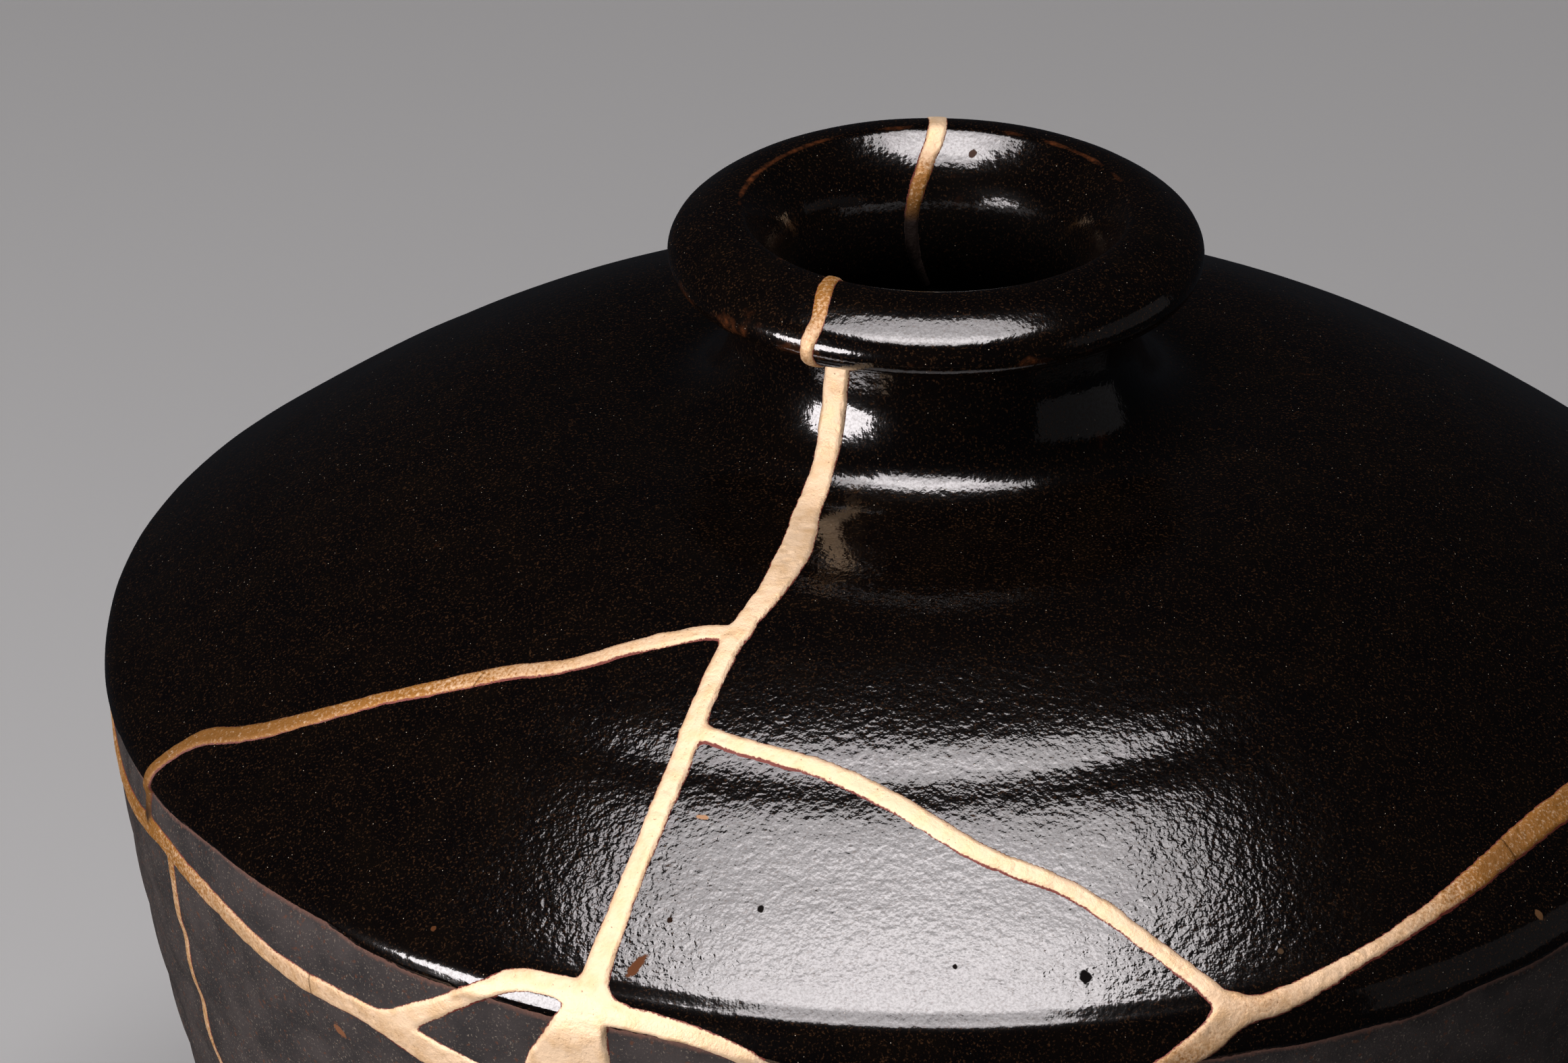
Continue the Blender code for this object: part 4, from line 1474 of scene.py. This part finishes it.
class GoldSeams:
    """The raised gold over every break, as a height above the jar's skin."""

    STRETCHES = (
        SeamStretch("gold_rim_and_neck", (-24, 46), (-180, 180), 0.5),
        SeamStretch("gold_shoulder", (46, 92), (-180, 180), 0.24),
        SeamStretch("gold_left", (92, 204), (-180, -45), 0.17),
        SeamStretch("gold_front", (92, 204), (-45, 45), 0.17),
        SeamStretch("gold_right", (92, 204), (45, 180), 0.17),
    )
    # In mm: the grid's rows, the stations, how far seams blend, how deep and how far past its edge the
    # gold goes into the clay, how wide its rounded side is, and how much lacquer shows below it.
    ROW_STEP = 0.33
    STATIONS = 0.6
    BLEND = 0.35
    SUNK = 0.35
    UNDERSIDE = 0.1
    REACH = 0.7
    ROUND = 0.75
    LOWER_RIM = 0.24
    OUTSIDE = -10.0
    MARGIN = 2.2
    AXIS_MARGIN = 3.0
    LEAST_RADIUS = 8.0
    CHUNK = 24
    # How much lower the crown is on the lip, and the bell of the run where it is so.
    LIP_LOWER, LIP_BELL = 0.45, (5, 9)
    # The two powers of the crown's outline.
    CROWN_POWERS = (2.2, 0.6)
    # Layers of noise are (amount, grain in mm, seed): on the seam's edge, and on its face.
    EDGE_WANDER = ((0.16, 2.4, 41), (0.08, 1.0, 42))
    CRUMPLE = ((0.045, 1.9, 43), (0.03, 0.85, 44))
    # Pits sink in where their noise is between two values, and the crown rises and falls by a share.
    PIT_DEPTH, PIT_GRAIN, PIT_RIM = 0.10, 0.8, (0.45, 0.8)
    CROWN_UNEVEN, CROWN_GRAIN = 0.25, 5
    # In mm: where inside the edge the crumpling fades in, how much wider the skin is worked out
    # because the edge wanders, and the grain of the lacquer's lower rim.
    CRUMPLE_START = (0.1, 0.6)
    WANDER_MARGIN = 0.6
    RIM_GRAIN = 7
    # A seam's tarnish and painted shade grow from nothing at the first of these azimuths to full at the
    # second, to each side, once turned by one degree, so that the gold facing the lights stays pale.
    SHADED_SIDE_AZIMUTHS = (18, 64)
    SHADED_SIDE_TURN = 1
    # Each place where the gold is darkened, partly by tarnish and partly as painted shade, is (azimuth,
    # its width, run, its width, amount), as two bells.
    TARNISH_AND_SHADE_PLACES = (
        (-30, 20, 4, 8, 0.6), (-28, 10, 17, 3, 0.4), (16, 5, 140, 5, 0.4), (43, 5, 126, 7, 0.25),
        (22, 3, 133, 3, 0.22), (-70, 12, 143, 4, 0.3),
    )
    # Inside the mouth the gold is darkened in two steps, as painted shade: (run inside where one starts,
    # where it ends, amount).
    MOUTH_SHADE = ((2, 8, 0.6), (9, 15, 0.5))

    def __init__(self, surface: JarSurface, breaks: dict[str, Break]) -> None:
        """Keeps the skin and the breaks' paths.

        Args:
            surface: the jar's skin.
            breaks: the breaks by name.
        """
        self.surface = surface
        self.breaks = breaks
        self.paths = {name: piece.path(self.STATIONS) for name, piece in breaks.items()}

    def depth_inside(self, path: np.ndarray, azimuths: np.ndarray, runs: np.ndarray) -> np.ndarray:
        """How far each grid point lies inside a seam's edge: its half-width less the distance from its line.

        Args:
            path: stations of azimuth, run and width.
            azimuths: the grid's columns.
            runs: the grid's rows.

        Returns:
            Millimetres, negative outside.
        """
        depth = np.full((len(runs), len(azimuths)), self.OUTSIDE)
        stations = self.surface.turned(path[:, 0], path[:, 1])
        step = azimuths[1] - azimuths[0]
        turn = round(360 / step)
        for start in range(0, len(path) - 1, self.CHUNK):
            part = path[start : start + self.CHUNK + 1]
            margin = self.MARGIN + part[:, 2].max() / 2
            radius = max(self.LEAST_RADIUS, self.surface.section.at(part[:, 1])[0].min() - self.AXIS_MARGIN)
            wide = math.degrees(margin / radius)
            top, bottom = np.searchsorted(runs, (part[:, 1].min() - margin, part[:, 1].max() + margin))
            first = math.floor((part[:, 0].min() - wide - azimuths[0]) / step)
            last = math.ceil((part[:, 0].max() + wide - azimuths[0]) / step)
            columns = np.unique(np.arange(first, last + 1) % turn)
            columns = columns[columns < len(azimuths)]
            if top == bottom or not len(columns):
                continue
            places = self.surface.turned(*np.meshgrid(azimuths[columns], runs[top:bottom]))
            begin, finish = stations[start : start + len(part) - 1], stations[start + 1 : start + len(part)]
            along = finish - begin
            reach = places[:, :, None] - begin
            share = np.clip((reach * along).sum(-1) / np.maximum((along**2).sum(-1), 1e-9), 0, 1)
            away = np.linalg.norm(reach - share[..., None] * along, axis=-1)
            half = (part[:-1, 2] + share * (part[1:, 2] - part[:-1, 2])) / 2
            found = (half - away).max(axis=-1)
            depth[top:bottom, columns] = np.maximum(depth[top:bottom, columns], found)
        return depth

    def blended(self, azimuths: np.ndarray, runs: np.ndarray) -> tuple[np.ndarray, dict[str, np.ndarray]]:
        """The depth inside the seams over a grid, and each seam's own values there.

        Where seams meet, their depths blend as the log of a sum of powers, and their values are
        weighed by the same powers.

        Args:
            azimuths: the grid's columns.
            runs: the grid's rows.

        Returns:
            The depth, and the rise, tarnish and shade, wavy and bridge of the seams.
        """
        total = np.zeros((len(runs), len(azimuths)))
        values = {value: np.zeros_like(total) for value in ("rise", "tarnish_and_shade", "wavy", "bridge")}
        for name, path in self.paths.items():
            weight = np.exp(self.depth_inside(path, azimuths, runs) / self.BLEND)
            total += weight
            for value, grid in values.items():
                grid += weight * getattr(self.breaks[name], value)
        return self.BLEND * np.log(total), {value: grid / total for value, grid in values.items()}

    def crown(
        self, azimuth: np.ndarray, run: np.ndarray, edge: np.ndarray, values: dict[str, np.ndarray]
    ) -> np.ndarray:
        """How far the gold's face stands above the jar's skin.

        The height is H (1 - (1 - d / R)^2.2)^0.6, with d the depth inside the edge and R the
        round's width. It is lower on the lip, and noise crumples and pits it. Past its edge the
        face sinks into the clay by a smooth step.

        Args:
            azimuth: in degrees.
            run: in mm.
            edge: the depth inside the edge, in mm.
            values: the seams' rise, wavy and bridge.

        Returns:
            Heights in mm.
        """
        places = self.surface.turned(azimuth, run)
        part = np.clip(edge / self.ROUND, 0, 1)
        added = self.surface.bridged(azimuth, run, places, values["bridge"])
        lip = 1 - self.LIP_LOWER * hump(run, *self.LIP_BELL)
        inner, outer = self.CROWN_POWERS
        crown = (values["rise"] * lip + added) * (1 - (1 - part) ** inner) ** outer
        crumple = sum(amount * drift(places, grain, seed) for amount, grain, seed in self.CRUMPLE)
        pits = -self.PIT_DEPTH * ease(drift(places, self.PIT_GRAIN, 45), *self.PIT_RIM)
        crown = crown * (1 + self.CROWN_UNEVEN * drift(places, self.CROWN_GRAIN, 46))
        crown = crown + values["wavy"] * (crumple + pits) * ease(edge, *self.CRUMPLE_START)
        return np.where(edge > 0, crown, -self.SUNK * ease(-edge, 0, self.REACH))

    @staticmethod
    def shell(kept: np.ndarray, whole: bool) -> np.ndarray:
        """The quads of a closed shell over the grid points that are kept.

        Args:
            kept: whether each point is in the shell.
            whole: whether the columns go all the way round.

        Returns:
            Four point numbers a row: the face, the underside turned over, and the rim between them.
            The underside's points follow all those of the face.
        """
        shut = np.zeros((len(kept), 1), bool)
        shut_row = np.zeros((1, kept.shape[1]), bool)
        right = np.roll(kept, -1, 1) if whole else np.column_stack([kept[:, 1:], shut])
        cell = kept & right
        cell[:-1] &= cell[1:]
        cell[-1] = False
        rows, columns = np.nonzero(cell)
        after = (columns + 1) % kept.shape[1]
        index = np.arange(kept.size).reshape(kept.shape)
        corners = ((rows, columns), (rows + 1, columns), (rows + 1, after), (rows, after))
        top = np.stack([index[corner] for corner in corners], axis=1)
        neighbours = (
            np.roll(cell, 1, 1) if whole else np.column_stack([shut, cell[:, :-1]]),
            np.vstack([cell[1:], shut_row]),
            np.roll(cell, -1, 1) if whole else np.column_stack([cell[:, 1:], shut]),
            np.vstack([shut_row, cell[:-1]]),
        )
        walls = []
        for corner, joined in enumerate(neighbours):
            rim = top[~joined[rows, columns]]
            one, other = rim[:, corner], rim[:, (corner + 1) % 4]
            walls.append(np.stack([other, one, one + kept.size, other + kept.size], axis=1))
        return np.vstack([top, top[:, ::-1] + kept.size, *walls])

    def darkening(self, azimuth: np.ndarray, run: np.ndarray, tarnish_and_shade: np.ndarray) -> np.ndarray:
        """How much the gold is darkened, by tarnish and by painted shade: its seam's own amount, grown to
        each side away from the front, then the listed places and the inside of the mouth.

        Args:
            azimuth: in degrees.
            run: in mm.
            tarnish_and_shade: the seams' own amount of tarnish and painted shade.

        Returns:
            Amounts, from 0 upwards.
        """
        tarnish_and_shade = tarnish_and_shade * ease(np.abs(wrapped(azimuth + self.SHADED_SIDE_TURN)), *self.SHADED_SIDE_AZIMUTHS)
        for centre, wide, middle, tall, amount in self.TARNISH_AND_SHADE_PLACES:
            tarnish_and_shade = tarnish_and_shade + amount * hump(azimuth, centre, wide) * hump(run, middle, tall)
        for start, end, amount in self.MOUTH_SHADE:
            tarnish_and_shade = tarnish_and_shade + amount * ease(-run, start, end)
        return tarnish_and_shade

    def build_stretch(self, stretch: SeamStretch, material: bpy.types.Material) -> bpy.types.Object:
        """Builds one stretch as a height field over the skin, closed by an underside within the clay.

        Args:
            stretch: which part of the seams.
            material: the gold.

        Returns:
            The piece.
        """
        surface = self.surface
        whole = stretch.azimuths[1] - stretch.azimuths[0] >= 360
        step = 360 / round(360 / stretch.step)
        low = math.floor(stretch.azimuths[0] / step)
        high = math.ceil(stretch.azimuths[1] / step)
        azimuths = np.arange(low, high if whole else high + 1) * step
        runs = np.arange(stretch.runs[0], stretch.runs[1] + self.ROW_STEP, self.ROW_STEP)
        azimuth, run = np.meshgrid(azimuths, runs)
        depth, values = self.blended(azimuths, runs)

        near = depth > -self.REACH - self.WANDER_MARGIN
        places = surface.turned(azimuth[near], run[near])
        for amount, grain, seed in self.EDGE_WANDER:
            depth[near] = depth[near] + amount * drift(places, grain, seed)
        here = {value: grid[near] for value, grid in values.items()}
        above = self.crown(azimuth[near], run[near], depth[near], here)
        below = np.full(len(above), -self.SUNK - self.UNDERSIDE)
        points, floor, plain = (np.full((*depth.shape, 3), fill) for fill in (np.nan, np.nan, 0.0))
        points[near] = surface.skin(azimuth[near], run[near], above)
        floor[near] = surface.skin(azimuth[near], run[near], below)
        plain[near] = surface.normals(azimuth[near], run[near])

        across = np.roll(points, -1, 1) - np.roll(points, 1, 1) if whole else np.gradient(points, axis=1)
        normals = np.cross(np.gradient(points, axis=0), across)
        normals /= np.maximum(np.linalg.norm(normals, axis=-1, keepdims=True), 1e-12)
        normals = np.where(np.isfinite(normals), normals, plain)
        everything = np.concatenate([points.reshape(-1, 3), floor.reshape(-1, 3)])
        flat_normals = np.concatenate([normals.reshape(-1, 3), -plain.reshape(-1, 3)])
        triangles = quads_to_triangles(self.shell(near & (depth > -self.REACH), whole), everything)

        lower = self.LOWER_RIM * np.clip(-np.gradient(depth, axis=0) / self.ROW_STEP, 0, 1)
        lower[near] *= 0.5 + drift(places, self.RIM_GRAIN, 47)
        # Tarnish, and painted shade on the sides away from the lights and inside the mouth, for each point.
        tarnish_and_shade = self.darkening(azimuth, run, values["tarnish_and_shade"])
        underside = np.zeros(depth.size)
        attributes = {
            "from_edge_mm": np.concatenate([(depth - lower).ravel(), underside]),
            "tarnish_and_shade": np.concatenate([tarnish_and_shade.ravel(), underside]),
        }
        piece = mesh_object(stretch.name, everything, triangles, flat_normals, attributes, material)
        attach(piece, ROOT_BODY)
        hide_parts("gold_seams")
        log.info("%s: %d triangles", stretch.name, len(piece.data.polygons))
        return piece

    def build(self, material: bpy.types.Material) -> list[bpy.types.Object]:
        """Builds every stretch.

        Args:
            material: the gold.

        Returns:
            The pieces.
        """
        return [self.build_stretch(stretch, material) for stretch in self.STRETCHES]


# ---------------------------------------------------------------------------
# The studio
# ---------------------------------------------------------------------------


class PanelShape(Enum):
    """The outline of a light."""

    BOX = "RECTANGLE"
    ROUND = "ELLIPSE"


@dataclass(frozen=True)
class Panel:
    """A softbox: where it is and what it faces, in metres, its size, radiance, outline and hot spot.

    A hot spot is a place on the panel, from -1 to 1 each way, around which it is brightest.
    """

    name: str
    place: Place
    target: Place
    size: tuple[float, float]
    radiance: float
    shape: PanelShape = PanelShape.BOX
    hot_spot: Optional[tuple[float, float]] = None


@dataclass(frozen=True)
class Studio:
    """The camera, the lights and the floor, in metres and degrees.

    A graded softbox has a rim of superellipse fullness that starts at the rim share of its size. It
    narrows from its top downwards to one share of its width, which it keeps below a height given from
    -1 to 1. Its hot spot has its own size and stretch.
    """

    lens: float = 216.87
    sensor: float = 36.0
    clip_start: float = 0.05
    distance: float = 1.321
    elevation: float = 27.57
    yaw: float = 0.904
    pitch: float = 0.822
    roll: float = -0.6155
    aim: Place = (0, 0, 0.130)
    panels: tuple[Panel, ...] = (
        Panel(
            "overhead softbox", (-0.07, -0.465, 1.60), (-0.07, -0.465, 0.0), (1.85, 0.99), 18.0,
            hot_spot=(0.0, -0.1),
        ),
        Panel("low side softbox", (-0.92, -0.77, 0.26), (0, 0, 0.16), (0.82, 0.50), 17.0, PanelShape.ROUND),
        Panel("dim side card", (1.25, -0.15, 0.30), (0, 0, 0.16), (1.30, 0.70), 0.09),
    )
    fullness: float = 4.0
    narrow: float = 0.55
    narrow_below: float = -0.3
    rim: float = 0.9
    hot_size: float = 0.45
    hot_stretch: float = 0.4
    dimmest: float = 0.42
    light_colour: str = "fff8f9"
    world: str = "191a1d"
    floor: str = "969898"
    floor_roughness: float = 0.9
    floor_radius: float = 8.0
    floor_sides: int = 96

    def camera(self) -> bpy.types.Object:
        """Adds the camera at its orbit, then turns it by yaw, pitch and roll.

        Returns:
            The camera.
        """
        elevation = math.radians(self.elevation)
        aim = Vector(self.aim)
        place = aim + Vector((0, -math.cos(elevation), math.sin(elevation))) * self.distance
        forward = (aim - place).normalized()
        right = Vector((1, 0, 0))
        up = right.cross(forward)
        turn = Matrix.Rotation(math.radians(self.yaw), 3, up)
        forward, right = turn @ forward, turn @ right
        turn = Matrix.Rotation(math.radians(self.pitch), 3, right)
        forward, up = turn @ forward, turn @ up
        turn = Matrix.Rotation(math.radians(self.roll), 3, forward)
        right, up = turn @ right, turn @ up
        data = bpy.data.cameras.new("camera")
        data.lens = self.lens
        data.sensor_width = self.sensor
        data.sensor_fit = "HORIZONTAL"
        data.clip_start = self.clip_start
        camera = bpy.data.objects.new("camera", data)
        camera.matrix_world = Matrix.Translation(place) @ Matrix((right, up, -forward)).transposed().to_4x4()
        bpy.context.scene.collection.objects.link(camera)
        bpy.context.scene.camera = camera
        return camera

    def light(self, panel: Panel) -> bpy.types.Object:
        """Adds a softbox. Its power is its radiance times its area times pi.

        Args:
            panel: the softbox's sizes, place and strength.

        Returns:
            The light.
        """
        data = bpy.data.lights.new(panel.name, "AREA")
        data.shape = panel.shape.value
        data.size, data.size_y = panel.size
        data.energy = math.pi * panel.size[0] * panel.size[1] * panel.radiance
        data.color = linear(self.light_colour)[:3]
        if panel.hot_spot:
            self.grade(data, panel.hot_spot)
        light = bpy.data.objects.new(panel.name, data)
        light.location = panel.place
        facing = Vector(panel.target) - Vector(panel.place)
        light.rotation_euler = facing.to_track_quat("-Z", "Y").to_euler()
        light.visible_camera = False
        bpy.context.scene.collection.objects.link(light)
        return light

    def grade(self, data: bpy.types.Light, hot_spot: tuple[float, float]) -> None:
        """Dims a softbox towards its rim and away from its hot spot.

        The rim is a superellipse, |x / w|^n + |y|^n = 1 with n the fullness, over which a smooth step
        takes the light to nothing. The width w falls from 1 at the top to the narrow width. The hot
        spot is a bell on top of the dimmest light.

        Args:
            data: the light.
            hot_spot: its place on the panel, from -1 to 1 each way.
        """
        data.use_nodes = True
        add = partial(add_node, data.node_tree)
        place = add("ShaderNodeNewGeometry", out="Parametric")
        place = add(VECTOR, {0: place, 1: (2, 2, 0), 2: (-1, -1, 0)}, operation="MULTIPLY_ADD")
        across, up = (add("ShaderNodeSeparateXYZ", {0: place}, out=axis) for axis in ("X", "Y"))
        width = add(RANGE, {"Value": up, "From Min": self.narrow_below, "To Min": self.narrow})
        powers = []
        for along in (add(MATHS, {0: across, 1: width}, operation="DIVIDE"), up):
            along = add(MATHS, {0: along}, operation="ABSOLUTE")
            powers.append(add(MATHS, {0: along, 1: self.fullness}, operation="POWER"))
        rim = add(MATHS, {0: powers[0], 1: powers[1]}, operation="ADD")
        bounds = {"From Min": 1.0, "From Max": self.rim**self.fullness}
        rim = add(RANGE, {"Value": rim, **bounds}, interpolation_type="SMOOTHSTEP")
        away = add(VECTOR, {0: place, 1: (*hot_spot, 0)}, operation="SUBTRACT")
        away = add(VECTOR, {0: away, 1: (self.hot_stretch, 1, 0)}, operation="MULTIPLY")
        away = add(VECTOR, {0: away}, out="Value", operation="LENGTH")
        bell = add(MATHS, {0: away, 1: self.hot_size}, operation="DIVIDE")
        bell = add(MATHS, {0: bell, 1: 2.0}, operation="POWER")
        bell = add(MATHS, {0: bell, 1: -1.0}, operation="MULTIPLY")
        bell = add(MATHS, {0: math.e, 1: bell}, operation="POWER")
        bell = add(RANGE, {"Value": bell, "To Min": self.dimmest, "To Max": 1.0})
        strength = add(MATHS, {0: rim, 1: bell}, operation="MULTIPLY")
        data.node_tree.links.new(strength, data.node_tree.nodes["Emission"].inputs["Strength"])

    def floor_disc(self) -> bpy.types.Object:
        """Adds the pale floor.

        Returns:
            The floor.
        """
        material, shader, _, _ = new_material("matte painted floor")
        shader.inputs["Base Color"].default_value = linear(self.floor)
        shader.inputs["Roughness"].default_value = self.floor_roughness
        mesh = bpy.data.meshes.new("floor")
        angle = np.arange(self.floor_sides) * 2 * math.pi / self.floor_sides
        across, along = self.floor_radius * np.cos(angle), self.floor_radius * np.sin(angle)
        rim = np.column_stack([across, along, np.zeros(self.floor_sides)])
        mesh.from_pydata(rim.tolist(), [], [list(range(self.floor_sides))])
        mesh.materials.append(material)
        floor = bpy.data.objects.new("floor", mesh)
        bpy.context.scene.collection.objects.link(floor)
        floor.visible_glossy = False
        return floor

    def build(self) -> None:
        """Adds all of it and sets the world's dim light."""
        self.camera()
        self.floor_disc()
        for panel in self.panels:
            self.light(panel)
        world = bpy.data.worlds.new("studio")
        world.use_nodes = True
        world.node_tree.nodes["Background"].inputs["Color"].default_value = linear(self.world)
        bpy.context.scene.world = world
        bpy.context.scene.view_settings.view_transform = "Standard"


def main() -> None:
    """Builds the jar, then its seams, then the studio."""
    logging.basicConfig(level=logging.INFO, format="%(message)s")
    surface = JarSurface(Section(JarProfile()), Relief(), GlazeEdge())
    ThrownJar(surface, BREAKS).build(TenmokuOnStoneware().make(surface))
    GoldSeams(surface, BREAKS).build(GoldOnLacquer().make())
    Studio().build()


if __name__ == "__main__":
    main()
